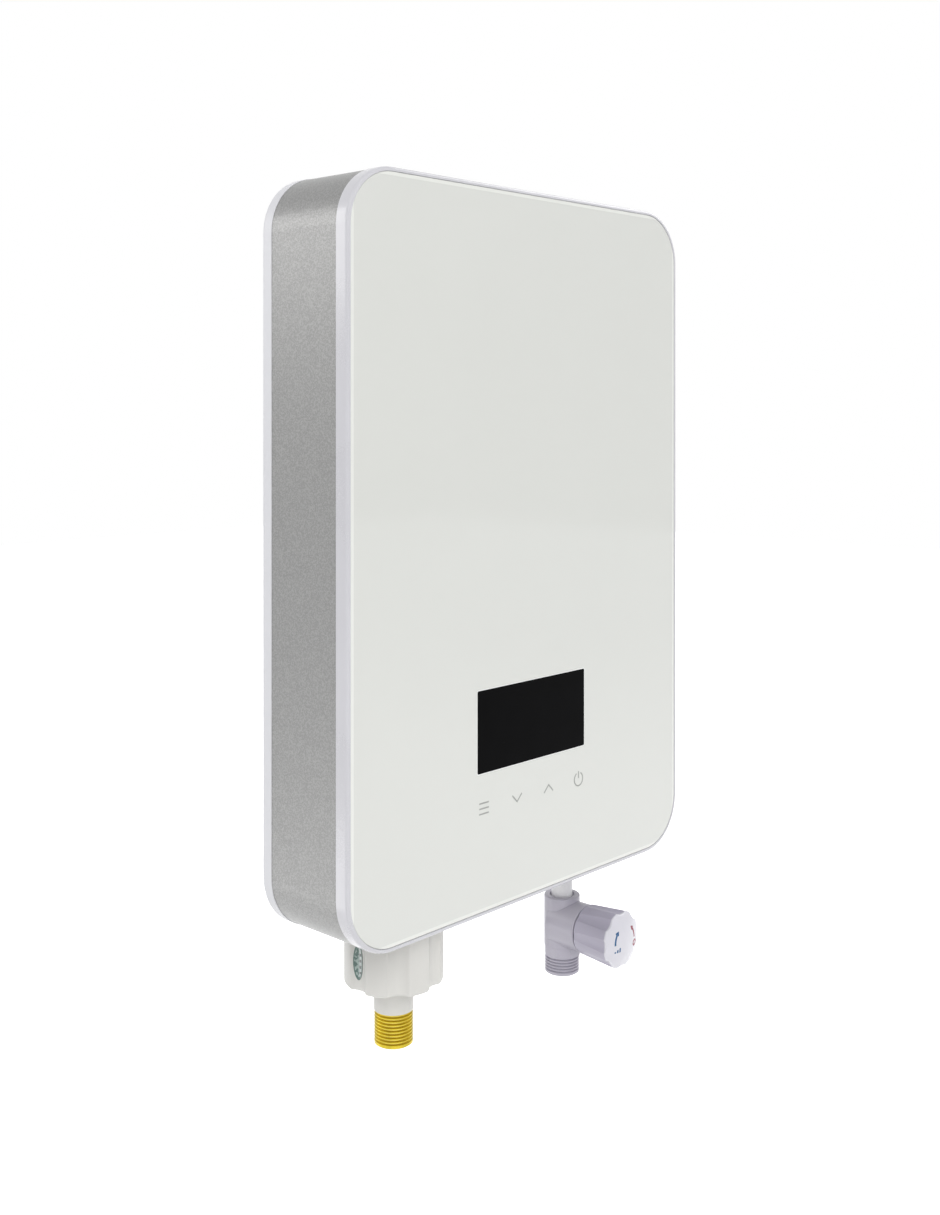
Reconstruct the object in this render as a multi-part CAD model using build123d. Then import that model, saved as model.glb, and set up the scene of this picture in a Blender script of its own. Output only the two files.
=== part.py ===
from build123d import *
from math import cos, radians, sin, tan
import os

# Wall-hung instantaneous electric water heater, in millimetres.
# X is to the right seen from the room, -Y faces the room, +Y the wall, +Z up.
# The origin is the centre of the casing's back face, which lies on the wall plane.

# Casing
casing_height = 396.0
casing_width = 280.0
corner_radius = 31.0
rear_lip_depth = 7.7
band_depth = 50.0
frame_depth = 8.3
band_setback = 0.3
band_wall = 2.5
floor_thickness = 3.0
lip_round = 1.8
tongue_wall = 2.0
tongue_height = 5.6
fit_gap = 0.2
overrun = 1.0

y_lip = -rear_lip_depth
y_band = y_lip - band_depth
y_front = y_band - frame_depth
tongue_inset = band_setback + band_wall + fit_gap
z_bottom = -casing_height / 2
band_bottom = z_bottom + band_setback
band_ceiling = band_bottom + band_wall

# Front frame and glass
lip_width = 2.3
lip_edge_round = 1.6
glass_thickness = 3.8
glass_setback = 0.2
glass_gap = 0.1
glass_edge = 0.3
tape_thickness = 0.6
tape_width = 12.0
panel_thickness = 2.2
frame_tongue = 5.0

y_glass_front = y_front + glass_setback
y_glass_back = y_glass_front + glass_thickness
y_panel_front = y_glass_back + tape_thickness
y_panel_back = y_panel_front + panel_thickness

# Display and touch keys, heights measured from the casing's bottom edge
window_width = 92.0
window_height = 44.7
window_level = 99.6
lens_thickness = 2.0
key_level = 58.3
key_pitch = 27.2
key_count = 4
key_spring_radius = 4.0
key_spring_wire = 0.7
key_hole_gap = 1.0
led_border = 3.5
led_gap = 0.3
control_socket_inset = 22.0
control_board_width = 120.0
control_board_height = 77.0
control_board_level = 84.5
board_thickness = 1.6
control_post_radius = 3.2
control_board_inset = 6.0
control_post_height = 7.5

window_z = z_bottom + window_level
key_z = z_bottom + key_level
control_z = z_bottom + control_board_level
y_control_front = y_panel_back + control_post_height
y_control_back = y_control_front + board_thickness

# Screws
screw_radius = 1.9
screw_head_radius = 3.6
screw_head_height = 2.4
screw_slot_width = 0.9
screw_slot_depth = 1.0
screw_length = 10.0
pilot_radius = 2.0
pilot_extra = 1.5
clear_radius = 2.3
case_screw_inset = 22.0
case_boss_radius = 6.0
case_boss_height = 20.0
case_counterbore_radius = 4.0
case_counterbore_depth = 9.0
case_screw_length = 22.0
frame_boss_radius = 5.0
inner_boss_radius = 4.0
inner_boss_height = 8.0

y_boss = -floor_thickness - inner_boss_height
case_screw_x = casing_width / 2 - case_screw_inset
case_screw_z = casing_height / 2 - case_screw_inset
y_case_joint = -case_boss_height

# Wall bracket in its pocket at the back
bracket_width = 150.0
bracket_height = 34.0
bracket_drop = 33.0
bracket_sheet = 1.5
bracket_gap = 1.0
bracket_hole_radius = 2.75
bracket_hole_spacing = 110.0
hook_width = 14.0
hook_spacing = 66.0
hook_rise = 8.0
hook_gap = 0.3
pocket_depth = 6.0
pocket_floor = 2.5
pocket_wall = 2.5
pocket_corner = 4.0

bracket_z = casing_height / 2 - bracket_drop
y_pocket_inside = -pocket_depth - pocket_floor

# Water fittings, on two vertical axes
water_axis_depth = 28.0
outlet_offset = 72.0
inlet_offset = 72.0
pipe_gap = 0.15
seal_thickness = 1.0
thread_radius = 10.4775
thread_pitch = 1.814
thread_depth = 1.162
thread_crest_share = 0.28
thread_root_share = 0.16
thread_chamfer = 0.8

y_water = -water_axis_depth
outlet_x = -outlet_offset
inlet_x = inlet_offset

# Tank of two tubes between two headers
tube_pitch = 56.0
tube_radius = 21.0
tube_wall = 1.2
tube_bottom_level = 143.0
tank_top_drop = 68.0
header_radius = 24.5
header_overlap = 7.0
header_floor = 5.0
header_cavity_radius = 18.5
header_cavity_height = 10.0
port_length = 8.0
port_radius = 8.5
port_bore = 4.5
lug_reach = 65.0
lug_thickness = 5.0
lug_hole_inset = 6.5
lug_height = 14.0

tube_x = tube_pitch / 2
tube_bottom = z_bottom + tube_bottom_level
header_floor_z = tube_bottom - header_cavity_height - header_floor
header_roof_z = casing_height / 2 - tank_top_drop
tube_top = header_roof_z - header_floor - header_cavity_height
port_z = tube_bottom - header_cavity_height / 2
port_face = tube_x + header_radius + port_length
lug_x = lug_reach - lug_hole_inset
bottom_lug_z = header_floor_z + lug_height / 2
top_lug_z = header_roof_z - lug_height / 2

# Heating elements, cut-outs and probes on the tank
element_radius = 3.25
element_leg_offset = 9.0
element_clear_bottom = 14.0
element_flange_width = 15.0
element_flange_length = 34.0
element_flange_thickness = 2.5
element_stub = 3.5
terminal_radius = 2.0
terminal_height = 8.0
terminal_nut_radius = 3.6
terminal_nut_height = 2.2
cutout_offset = 9.5
cutout_radius = 8.0
cutout_height = 9.0
cutout_blade_width = 5.0
cutout_blade_thickness = 0.8
cutout_blade_reach = 5.0
button_radius = 2.2
button_gap = 0.3
button_proud = 3.0
button_depth = 4.0
button_travel = 1.2
button_floor_gap = 0.6
probe_offset = 24.0
probe_tip_radius = 2.0
probe_tip_length = 5.0
probe_head_radius = 3.4
probe_head_length = 3.4

# Pipes inside the casing
pipe_radius = 6.0
pipe_bore = 4.5
pipe_bend = 11.0
inlet_pipe_radius = 6.4
inlet_pipe_bore = 4.8
inlet_flange_radius = 11.5
inlet_flange_height = 3.0
socket_depth = 10.0
clip_level = 33.0
clip_height = 10.0
clip_wall = 2.2
clip_foot_width = 32.0
clip_foot_thickness = 3.0
clip_screw_offset = 12.0

clip_z = z_bottom + clip_level

# Flow sensor
sensor_radius = 14.0
sensor_bottom_level = 48.0
sensor_length = 40.0
sensor_split = 24.0
chamber_radius = 10.0
chamber_inset = 11.5
turbine_radius = 9.2
turbine_height = 11.0
turbine_hub_radius = 3.0
turbine_blades = 6
turbine_blade_thickness = 1.0
turbine_twist = 28.0
turbine_blade_share = 0.8
turbine_end_gap = 0.3
shaft_radius = 1.2
running_gap = 0.05
spider_width = 2.2
spider_height = 2.4
spider_hub_radius = 3.0
hall_width = 10.0
hall_depth = 4.0
hall_height = 14.0
hall_pad = 1.0

sensor_bottom = z_bottom + sensor_bottom_level
sensor_top = sensor_bottom + sensor_length
chamber_bottom = sensor_bottom + chamber_inset
chamber_top = sensor_top - chamber_inset

# Outlet: lobed insulating housing, its core, collar and threaded nipple
housing_radius = 27.0
housing_lobes = 7
housing_valley_depth = 2.7
housing_valley_radius = 9.0
housing_crest_round = 1.4
housing_gap = 0.3
housing_length = 35.0
housing_bottom_round = 2.2
housing_floor = 3.0
core_radius = 20.2
core_grooves = 6
core_groove_depth = 3.0
core_groove_height = 2.0
core_bore = 3.5
core_clearance = 0.3
stub_radius = 11.0
stub_length = 17.0
locknut_radius = 16.0
locknut_height = 8.0
nipple_shank_radius = 7.9
nipple_shank_rise = 15.0
nipple_bore = 5.4
collar_radius = 11.1
collar_lower_radius = 10.8
collar_step = 9.0
collar_shoulder_radius = 16.0
collar_shoulder_height = 2.0
collar_length = 15.4
nipple_thread_length = 18.7
label_width = 6.2
label_height = 19.2
label_thickness = 0.25
label_drop = 18.8
label_shift = 1.2

housing_top = z_bottom - housing_gap
housing_bottom = z_bottom - housing_length
collar_bottom = housing_bottom - collar_length

# Inlet: flow valve
valve_rim_drop = 25.2
valve_radius = 11.0
valve_socket_radius = 7.6
valve_socket_depth = 6.4
valve_rim_round = 0.7
valve_axis_drop = 42.0
valve_body_drop = 55.5
valve_flats_drop = 61.5
valve_flats = 21.0
valve_flat_count = 8
valve_thread_length = 11.2
valve_bore = 5.4
branch_radius = 14.0
branch_start = 2.0
branch_reach = 19.4
branch_front_round = 0.6
chamber_bore = 8.8
chamber_back = 4.0
ring_seal_depth = 1.2
ring_seal_height = 2.0
filter_radius = 5.2
filter_thickness = 1.0
filter_rim = 1.2
filter_bars = 5
filter_bar_width = 0.5

valve_rim_z = z_bottom - valve_rim_drop
valve_shoulder_z = valve_rim_z - valve_socket_depth
valve_axis_z = z_bottom - valve_axis_drop
valve_body_bottom = z_bottom - valve_body_drop
valve_flats_bottom = z_bottom - valve_flats_drop
valve_end = valve_flats_bottom - valve_thread_length
y_branch_front = y_water - branch_reach
y_chamber_back = y_water - chamber_back

# Valve cartridge, spindle and knob
cartridge_gap = 0.1
cartridge_neck_radius = 7.5
cartridge_neck_length = 5.0
cartridge_seal_height = 1.5
disc_radius = 6.5
disc_thickness = 2.0
disc_port_radius = 2.2
disc_port_offset = 3.2
spindle_radius = 3.0
spindle_foot_radius = 6.0
spindle_foot_thickness = 1.6
spindle_foot_gap = 0.3
spindle_reach = 37.0
knob_gap = 1.4
knob_length = 24.6
knob_rear_radius = 14.6
knob_front_radius = 16.6
knob_flutes = 8
knob_flute_radius = 9.0
knob_flute_front = 1.4
knob_flute_rear = 0.5
cap_edge_round = 0.9
knob_skirt_wall = 2.6
knob_hub_radius = 6.0
knob_hub_length = 12.0
knob_web = 3.0
cap_rim = 0.8
cap_rise = 3.8
plug_radius = 11.8
plug_depth = 2.0
plug_gap = 0.15
knob_screw_head = 3.4
knob_screw_length = 8.0
knob_screw_radius = 1.6

y_knob_rear = y_branch_front - knob_gap
y_knob_front = y_knob_rear - knob_length
y_spindle_tip = y_water - spindle_reach
y_cap_back = y_knob_front + cap_rim
y_plug_back = y_cap_back + plug_depth

# Power board beside the tank and what it carries; insets from its inner edge, levels from its foot
power_gap = 3.0
power_wall_gap = 4.5
power_level = 147.0
power_hole_inset = 5.0
sink_inset = 16.0
sink_level = 66.0
sink_height = 56.0
sink_depth = 26.0
sink_spine = 4.0
sink_fin_length = 13.0
sink_fin_thickness = 1.8
sink_fins = 6
triac_width = 10.4
triac_thickness = 4.6
triac_length = 15.0
triac_lift = 5.0
triac_spacing = 26.0
triac_lead = 1.0
triac_lead_pitch = 2.54
relay_width = 16.0
relay_height = 28.0
relay_depth = 20.0
relay_spacing = 20.0
relay_inset = 19.0
relay_level = 112.0
relay_drop = 38.0
choke_width = 26.0
choke_height = 24.0
choke_depth = 20.0
choke_inset = 15.0
choke_level = 22.0
capacitor_radius = 6.0
capacitor_length = 20.0
capacitor_edge = 8.0
capacitor_level = 46.0
capacitor_spacing = 15.0
capacitor_count = 3
socket_width = 12.0
socket_height = 8.0
socket_thickness = 8.0
socket_drop = 15.0
wire_radius = 1.4
wire_arc_share = 0.45

power_edge = -lug_reach - power_gap
power_outer = tongue_inset + tongue_wall + power_wall_gap - casing_width / 2
power_width = power_edge - power_outer
power_x = (power_edge + power_outer) / 2
power_foot = z_bottom + power_level
power_height = relay_level + relay_drop
power_z = power_foot + power_height / 2
y_power_front = y_boss - board_thickness

# Mains terminal block, earth stud and cable gland
block_width = 40.0
block_height = 24.0
block_depth = 18.0
block_gap = 3.0
block_level = 200.0
block_poles = 3
block_pole_pitch = 12.0
block_wall = 1.2
block_slot_depth = 5.0
block_screw_radius = 2.6
block_screw_height = 3.0
stud_level = 148.0
stud_radius = 2.5
stud_length = 18.0
stud_nut_radius = 4.6
stud_nut_height = 3.2
stud_washer_radius = 5.5
stud_washer_thickness = 1.0
gland_depth = 24.0
gland_radius = 8.0
gland_flange_radius = 11.0
gland_flange_height = 3.5
gland_cap_radius = 10.0
gland_cap_height = 8.0
gland_bore = 6.5
gland_bush_bore = 5.2
gland_bush_height = 7.0
gland_lip = 1.2
gland_cap_wall = 2.0
gland_rise = 8.0
gland_nut_radius = 12.0
gland_nut_height = 4.0

block_x = lug_reach + block_gap + block_width / 2
block_z = z_bottom + block_level
y_block_back = y_boss
y_block_front = y_block_back - block_depth
stud_x = block_x + block_width / 2 - inner_boss_radius
stud_z = z_bottom + stud_level
y_gland = -gland_depth
gland_low = band_bottom - gland_flange_height


# Routes of the wires inside the casing, from the middle of the top header's roof
live_route = [(76.0, 8.0, -26.0), (60.0, 4.0, 22.0), (20.0, 2.0, 42.0), (-44.0, 3.0, 40.0),
              (-70.0, 4.0, 22.0)]
neutral_route = [(100.0, 8.0, -40.0), (90.0, -2.0, 2.0), (60.0, -9.0, 28.0),
                 (36.0, -9.0, 33.0), (28.0, -9.0, 25.0)]
heater_route = [(-90.0, -6.0, 16.0), (-62.0, -11.0, 33.0), (-34.0, -9.0, 31.0),
                (-28.0, -9.0, 23.0)]
relay_wire_rise = 24.0
earth_wire_drop = 12.0
earth_wire_rise = 9.0


# Basic shapes

def slab(width, height, radius, y_back, y_to):
    """Rounded upright plate between two depths, centred on the origin."""
    outline = RectangleRounded(width, height, radius)
    return Pos(0, y_back, 0) * Rot(90, 0, 0) * extrude(outline, y_back - y_to)


def inset_slab(inset, y_back, y_to):
    """The casing's outline drawn in by an inset, between two depths."""
    width = casing_width - 2 * inset
    height = casing_height - 2 * inset
    return slab(width, height, corner_radius - inset, y_back, y_to)


def block(x_pair, y_pair, z_pair):
    """Box between two values on each axis."""
    low = [min(pair) for pair in (x_pair, y_pair, z_pair)]
    high = [max(pair) for pair in (x_pair, y_pair, z_pair)]
    middle = [(a + b) / 2 for a, b in zip(low, high)]
    return Pos(*middle) * Box(*[b - a for a, b in zip(low, high)])


def block_at(x, z, width, height, y_back, y_to):
    """Box centred in X and Z, between two depths."""
    return block((x - width / 2, x + width / 2), (y_back, y_to), (z - height / 2, z + height / 2))


def rod_x(radius, x_from, x_to, y, z):
    return Pos((x_from + x_to) / 2, y, z) * Rot(0, 90, 0) * Cylinder(radius, abs(x_to - x_from))


def rod_y(radius, y_back, y_to, x, z):
    return Pos(x, (y_back + y_to) / 2, z) * Rot(90, 0, 0) * Cylinder(radius, y_back - y_to)


def rod_z(radius, z_low, z_high, x, y):
    return Pos(x, y, (z_low + z_high) / 2) * Cylinder(radius, z_high - z_low)


def hex_z(radius, z_low, z_high, x, y, sides=6):
    """Prism with upright sides; the radius is to its corners."""
    return Pos(x, y, z_low) * extrude(RegularPolygon(radius, sides), z_high - z_low)


def turned(points, x, y):
    """Solid turned about the upright axis at x, y from (radius, z) points."""
    face = make_face(Plane.XZ * Polyline(points + [points[0]]))
    return Pos(x, y, 0) * revolve(face, Axis.Z)


def pan_screw(x, y_seat, z, length, way=1, radius=screw_radius, head=screw_head_radius):
    """Pan-head screw; its shank runs towards +Y when way is 1, towards -Y when it is -1."""
    shank = rod_y(radius, *sorted((y_seat, y_seat + way * length), reverse=True), x, z)
    top = y_seat - way * screw_head_height
    screw = shank + rod_y(head, *sorted((y_seat, top), reverse=True), x, z)
    floor = top + way * screw_slot_depth
    for width, height in ((head, screw_slot_width), (screw_slot_width, head)):
        screw -= block_at(x, z, width, height, *sorted((top - way * overrun, floor), reverse=True))
    return screw


def male_thread(z_top, length, bore, x, y):
    """Ring-cut male thread going down from z_top, bored through."""
    root = thread_radius - thread_depth
    crest = thread_pitch * thread_crest_share
    flat = thread_pitch * thread_root_share
    flank = (thread_pitch - crest - flat) / 2
    turns = int((length - thread_chamfer) / thread_pitch)
    points = [(bore, z_top), (thread_radius, z_top)]
    z = z_top - crest
    for _ in range(turns):
        points += [(thread_radius, z), (root, z - flank), (root, z - flank - flat)]
        points.append((thread_radius, z - 2 * flank - flat))
        z -= thread_pitch
    end = z_top - length
    points += [(thread_radius, end + thread_chamfer), (root, end), (bore, end)]
    return turned(points, x, y)


def wire(points, radius=wire_radius):
    """Wire of straight runs joined by the widest arcs that they allow."""
    points = [Vector(*p) for p in points]
    radii = []
    for before, here, after in zip(points, points[1:], points[2:]):
        turn = radians((here - before).get_angle(after - here))
        shorter = min((here - before).length, (after - here).length)
        radii.append(wire_arc_share * shorter / tan(turn / 2))
    path = FilletPolyline(*points, radius=radii)
    print("wire arcs:", [round(r, 1) for r in radii])
    return sweep(Plane(path @ 0, z_dir=path % 0) * Circle(radius), path=path)


# Places

def corners(x, z):
    return [(sx * x, sz * z) for sx in (-1, 1) for sz in (-1, 1)]


def case_screw_places():
    return corners(case_screw_x, case_screw_z)


def lug_places():
    return [(sx * lug_x, z) for sx in (-1, 1) for z in (bottom_lug_z, top_lug_z)]


def clip_screw_places():
    return [(x + side * clip_screw_offset, clip_z) for x in (outlet_x, inlet_x) for side in (-1, 1)]


def power_screw_places():
    across = power_width / 2 - power_hole_inset
    up = power_height / 2 - power_hole_inset
    return [(power_x + x, power_z + z) for x, z in corners(across, up)]


def control_screw_places():
    across = control_board_width / 2 - control_board_inset
    up = control_board_height / 2 - control_board_inset
    return [(x, control_z + z) for x, z in corners(across, up)]


def key_places():
    return [((i - (key_count - 1) / 2) * key_pitch, key_z) for i in range(key_count)]


def block_foot_places():
    across = block_width / 2 - inner_boss_radius
    return [(block_x + side * across, block_z) for side in (-1, 1)]


def hook_places():
    return [side * hook_spacing / 2 for side in (-1, 1)]


# Casing

def rear_cover():
    cover = inset_slab(0, 0, y_lip)
    cover = fillet(cover.faces().sort_by(Axis.Y)[-1].edges(), lip_round)
    cover += inset_slab(tongue_inset, y_lip, y_lip - tongue_height)
    hollow = tongue_inset + tongue_wall
    cover -= inset_slab(hollow, -floor_thickness, y_lip - tongue_height - overrun)
    pocket_width = bracket_width + 2 * bracket_gap
    pocket_height = bracket_height + 2 * bracket_gap
    raised = slab(pocket_width + 2 * pocket_wall, pocket_height + 2 * pocket_wall,
                  pocket_corner + pocket_wall, -floor_thickness, y_pocket_inside)
    cover += Pos(0, 0, bracket_z) * raised
    pocket = slab(pocket_width, pocket_height, pocket_corner, overrun, -pocket_depth)
    cover -= Pos(0, 0, bracket_z) * pocket
    for x in hook_places():
        low = bracket_z - hook_rise - bracket_sheet - bracket_gap
        slot = (x - hook_width / 2 - bracket_gap, x + hook_width / 2 + bracket_gap)
        cover -= block(slot, (0, y_pocket_inside - overrun), (low, bracket_z))
    for x, z in case_screw_places():
        cover += rod_y(case_boss_radius, -floor_thickness, y_case_joint, x, z)
        cover -= rod_y(case_counterbore_radius, overrun, -case_counterbore_depth, x, z)
        cover -= rod_y(clear_radius, overrun, y_case_joint - overrun, x, z)
    posts = lug_places() + clip_screw_places() + power_screw_places() + block_foot_places()
    for x, z in posts + [(stud_x, stud_z)]:
        cover += rod_y(inner_boss_radius, -floor_thickness, y_boss, x, z)
    for x, z in lug_places() + clip_screw_places() + power_screw_places():
        cover -= rod_y(pilot_radius, -floor_thickness, y_boss - overrun, x, z)
    cover -= rod_y(stud_radius + running_gap, -floor_thickness, y_boss - overrun, stud_x, stud_z)
    return cover


def wall_bracket():
    plate = slab(bracket_width, bracket_height, pocket_corner, 0, -bracket_sheet)
    bracket = Pos(0, 0, bracket_z) * plate
    y_lip_back = y_pocket_inside - hook_gap
    y_hook_front = y_lip_back - bracket_sheet
    for x in hook_places():
        sides = (x - hook_width / 2, x + hook_width / 2)
        tongue = (bracket_z - bracket_sheet, bracket_z)
        bracket += block(sides, (-bracket_sheet, y_hook_front), tongue)
        bracket += block(sides, (y_lip_back, y_hook_front), (tongue[0], bracket_z + hook_rise))
    for side in (-1, 1):
        x = side * bracket_hole_spacing / 2
        bracket -= rod_y(bracket_hole_radius, overrun, -bracket_sheet - overrun, x, bracket_z)
    return bracket


def side_band():
    band = inset_slab(band_setback, y_lip, y_band)
    band -= inset_slab(band_setback + band_wall, y_lip + overrun, y_band - overrun)
    floor = (band_bottom - overrun, band_ceiling + overrun)
    band -= rod_z(stub_radius + pipe_gap, *floor, outlet_x, y_water)
    band -= rod_z(inlet_pipe_radius + pipe_gap, *floor, inlet_x, y_water)
    band -= rod_z(gland_radius + pipe_gap, *floor, 0, y_gland)
    return band


def front_frame():
    frame = inset_slab(0, y_band, y_front)
    frame = fillet(frame.faces().sort_by(Axis.Y)[0].edges(), lip_edge_round)
    frame += inset_slab(tongue_inset, y_band + frame_tongue, y_band)
    frame -= inset_slab(lip_width, y_panel_front, y_front - overrun)
    hollow = tongue_inset + tongue_wall
    frame -= inset_slab(hollow, y_band + frame_tongue + overrun, y_panel_back)
    for x, z in case_screw_places():
        frame += rod_y(frame_boss_radius, y_case_joint, y_panel_back, x, z)
        depth = y_case_joint - case_screw_length
        frame -= rod_y(pilot_radius, y_case_joint + overrun, depth, x, z)
    for x, z in control_screw_places():
        frame += rod_y(control_post_radius, y_control_front, y_panel_back, x, z)
        frame -= rod_y(pilot_radius, y_control_front + overrun, y_panel_back, x, z)
    width = window_width + 2 * fit_gap
    height = window_height + 2 * fit_gap
    through = (y_panel_back + overrun, y_panel_front - overrun)
    frame -= block_at(0, window_z, width, height, *through)
    for x, z in key_places():
        frame -= rod_y(key_spring_radius + key_hole_gap, *through, x, z)
    return frame


def glass_panel():
    glass = inset_slab(lip_width + glass_gap, y_glass_back, y_glass_front)
    return chamfer(glass.faces().sort_by(Axis.Y)[0].edges(), glass_edge)


def glass_tape():
    inset = lip_width + glass_gap + glass_edge
    tape = inset_slab(inset, y_panel_front, y_glass_back)
    return tape - inset_slab(inset + tape_width, y_panel_front + overrun, y_glass_back - overrun)


def case_screws():
    places = case_screw_places()
    return [pan_screw(x, -case_counterbore_depth, z, case_screw_length, way=-1) for x, z in places]


# Display and controls behind the glass

def display_lens():
    return block_at(0, window_z, window_width, window_height,
                    y_glass_back + lens_thickness, y_glass_back)


def led_display():
    width = window_width - 2 * led_border
    height = window_height - 2 * led_border
    y_led_front = y_glass_back + lens_thickness + led_gap
    return block_at(0, window_z, width, height, y_control_front, y_led_front)


def control_board():
    board = block_at(0, control_z, control_board_width, control_board_height,
                     y_control_back, y_control_front)
    for x, z in control_screw_places():
        board -= rod_y(clear_radius, y_control_back + overrun, y_control_front - overrun, x, z)
    return board


def key_springs():
    def spring(x, z):
        tube = rod_y(key_spring_radius, y_control_front, y_glass_back, x, z)
        hole = key_spring_radius - key_spring_wire
        return tube - rod_y(hole, y_control_front, y_glass_back, x, z)
    return [spring(x, z) for x, z in key_places()]


# Tank

def header_outline(z_low, z_high):
    outline = SlotCenterToCenter(tube_pitch, 2 * header_radius)
    return Pos(0, y_water, z_low) * extrude(outline, z_high - z_low)


def header_lugs(z_middle):
    y_pair = (y_boss, y_boss - lug_thickness)
    z_pair = (z_middle - lug_height / 2, z_middle + lug_height / 2)
    lugs = block((-lug_reach, lug_reach), y_pair, z_pair)
    for side in (-1, 1):
        lugs -= rod_y(clear_radius, y_boss + overrun, y_pair[1] - overrun, side * lug_x, z_middle)
    return lugs


def bottom_header():
    rim = tube_bottom + header_overlap
    header = header_outline(header_floor_z, rim) + header_lugs(bottom_lug_z)
    for side in (-1, 1):
        x = side * tube_x
        header += rod_x(port_radius, x, side * port_face, y_water, port_z)
    for side in (-1, 1):
        x = side * tube_x
        ledge = tube_bottom - seal_thickness
        header -= rod_z(header_cavity_radius, header_floor_z + header_floor, rim, x, y_water)
        header -= rod_z(tube_radius + pipe_gap, ledge, rim + overrun, x, y_water)
        header -= rod_x(port_bore, x, side * port_face, y_water, port_z)
        socket_end = side * (port_face - port_length - seal_thickness)
        mouth = side * (port_face + overrun)
        header -= rod_x(pipe_radius + pipe_gap, socket_end, mouth, y_water, port_z)
        y_face = y_water - header_radius
        header -= rod_y(probe_tip_radius + running_gap, y_face + probe_tip_length + header_floor,
                        y_face - overrun, side * probe_offset, port_z)
    return header


def top_header():
    rim = tube_top - header_overlap
    header = header_outline(rim, header_roof_z) + header_lugs(top_lug_z)
    cavity = SlotCenterToCenter(tube_pitch, 2 * header_cavity_radius)
    header -= Pos(0, y_water, tube_top) * extrude(cavity, header_cavity_height)
    for side in (-1, 1):
        x = side * tube_x
        ledge = tube_top + seal_thickness
        header -= rod_z(tube_radius + pipe_gap, rim - overrun, ledge, x, y_water)
        for leg in (-1, 1):
            y = y_water + leg * element_leg_offset
            header -= rod_z(element_radius + pipe_gap, tube_top, header_roof_z + overrun, x, y)
    return header


def tank_tubes():
    tubes = []
    for side in (-1, 1):
        tube = rod_z(tube_radius, tube_bottom, tube_top, side * tube_x, y_water)
        bore = rod_z(tube_radius - tube_wall, tube_bottom, tube_top, side * tube_x, y_water)
        tubes.append(tube - bore)
    return tubes


def heating_element(side):
    """Hairpin element hanging in its tube from an oval flange."""
    x = side * tube_x
    low = tube_bottom + element_clear_bottom + element_leg_offset
    top = header_roof_z + element_flange_thickness + element_stub
    element = block_at(x, header_roof_z + element_flange_thickness / 2, element_flange_width,
                       element_flange_thickness, y_water + element_flange_length / 2,
                       y_water - element_flange_length / 2)
    for leg in (-1, 1):
        element += rod_z(element_radius, low, top, x, y_water + leg * element_leg_offset)
    ring = Rot(0, 90, 0) * Torus(element_leg_offset, element_radius)
    bend = Pos(x, y_water, low) * ring
    reach = 2 * (element_leg_offset + element_radius)
    return element + (bend & Pos(x, y_water, low - reach / 2) * Box(reach, reach, reach))


def heating_elements():
    return [heating_element(side) for side in (-1, 1)]


def element_terminals():
    low = header_roof_z + element_flange_thickness + element_stub
    nuts = low + terminal_nut_height
    pins = []
    for side in (-1, 1):
        for leg in (-1, 1):
            place = (side * tube_x, y_water + leg * element_leg_offset)
            pin = rod_z(terminal_radius, low, low + terminal_height, *place)
            pins.append(pin + hex_z(terminal_nut_radius, nuts, nuts + terminal_nut_height, *place))
    return pins


def cutout(side):
    """Bimetal cut-out with two blades and a guide for its reset button."""
    x = side * cutout_offset
    top = header_roof_z + cutout_height
    body = rod_z(cutout_radius, header_roof_z, top, x, y_water)
    for way in (-1, 1):
        y_pair = (y_water + way * (cutout_radius - overrun),
                  y_water + way * (cutout_radius + cutout_blade_reach))
        low = top - 2 * cutout_blade_thickness
        body += block((x - cutout_blade_width / 2, x + cutout_blade_width / 2), y_pair,
                      (low, low + cutout_blade_thickness))
    floor = top - button_depth - button_travel - button_floor_gap
    return body - rod_z(button_radius + button_gap, floor, top + overrun, x, y_water)


def thermal_cutouts():
    return [cutout(side) for side in (-1, 1)]


def reset_button(side):
    top = header_roof_z + cutout_height
    return rod_z(button_radius, top - button_depth, top + button_proud,
                 side * cutout_offset, y_water)


def temperature_probes():
    y_face = y_water - header_radius
    probes = []
    for side in (-1, 1):
        x = side * probe_offset
        probe = rod_y(probe_tip_radius, y_face + probe_tip_length, y_face, x, port_z)
        probes.append(probe + rod_y(probe_head_radius, y_face, y_face - probe_head_length, x, port_z))
    return probes


def inner_screws():
    screws = [pan_screw(x, y_boss - lug_thickness, z, screw_length) for x, z in lug_places()]
    for x, z in clip_screw_places():
        screws.append(pan_screw(x, y_boss - clip_foot_thickness, z, screw_length - pilot_extra))
    for x, z in power_screw_places():
        screws.append(pan_screw(x, y_power_front, z, inner_boss_height))
    depth = control_post_height + board_thickness - pilot_extra
    for x, z in control_screw_places():
        screws.append(pan_screw(x, y_control_back, z, depth, way=-1))
    return screws


# Pipes and flow sensor

def header_pipe(side, z_low):
    """Bent pipe from a header port down to z_low."""
    x = side * outlet_offset if side < 0 else side * inlet_offset
    start = (side * (port_face - port_length), y_water, port_z)
    path = FilletPolyline(start, (x, y_water, port_z), (x, y_water, z_low), radius=pipe_bend)
    ring = Circle(pipe_radius) - Circle(pipe_bore)
    return sweep(Plane(path @ 0, z_dir=path % 0) * ring, path=path)


def seal_ring(radius, bore, z_low, x):
    ring = rod_z(radius, z_low, z_low + seal_thickness, x, y_water)
    return ring - rod_z(bore, z_low, z_low + seal_thickness, x, y_water)


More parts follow.
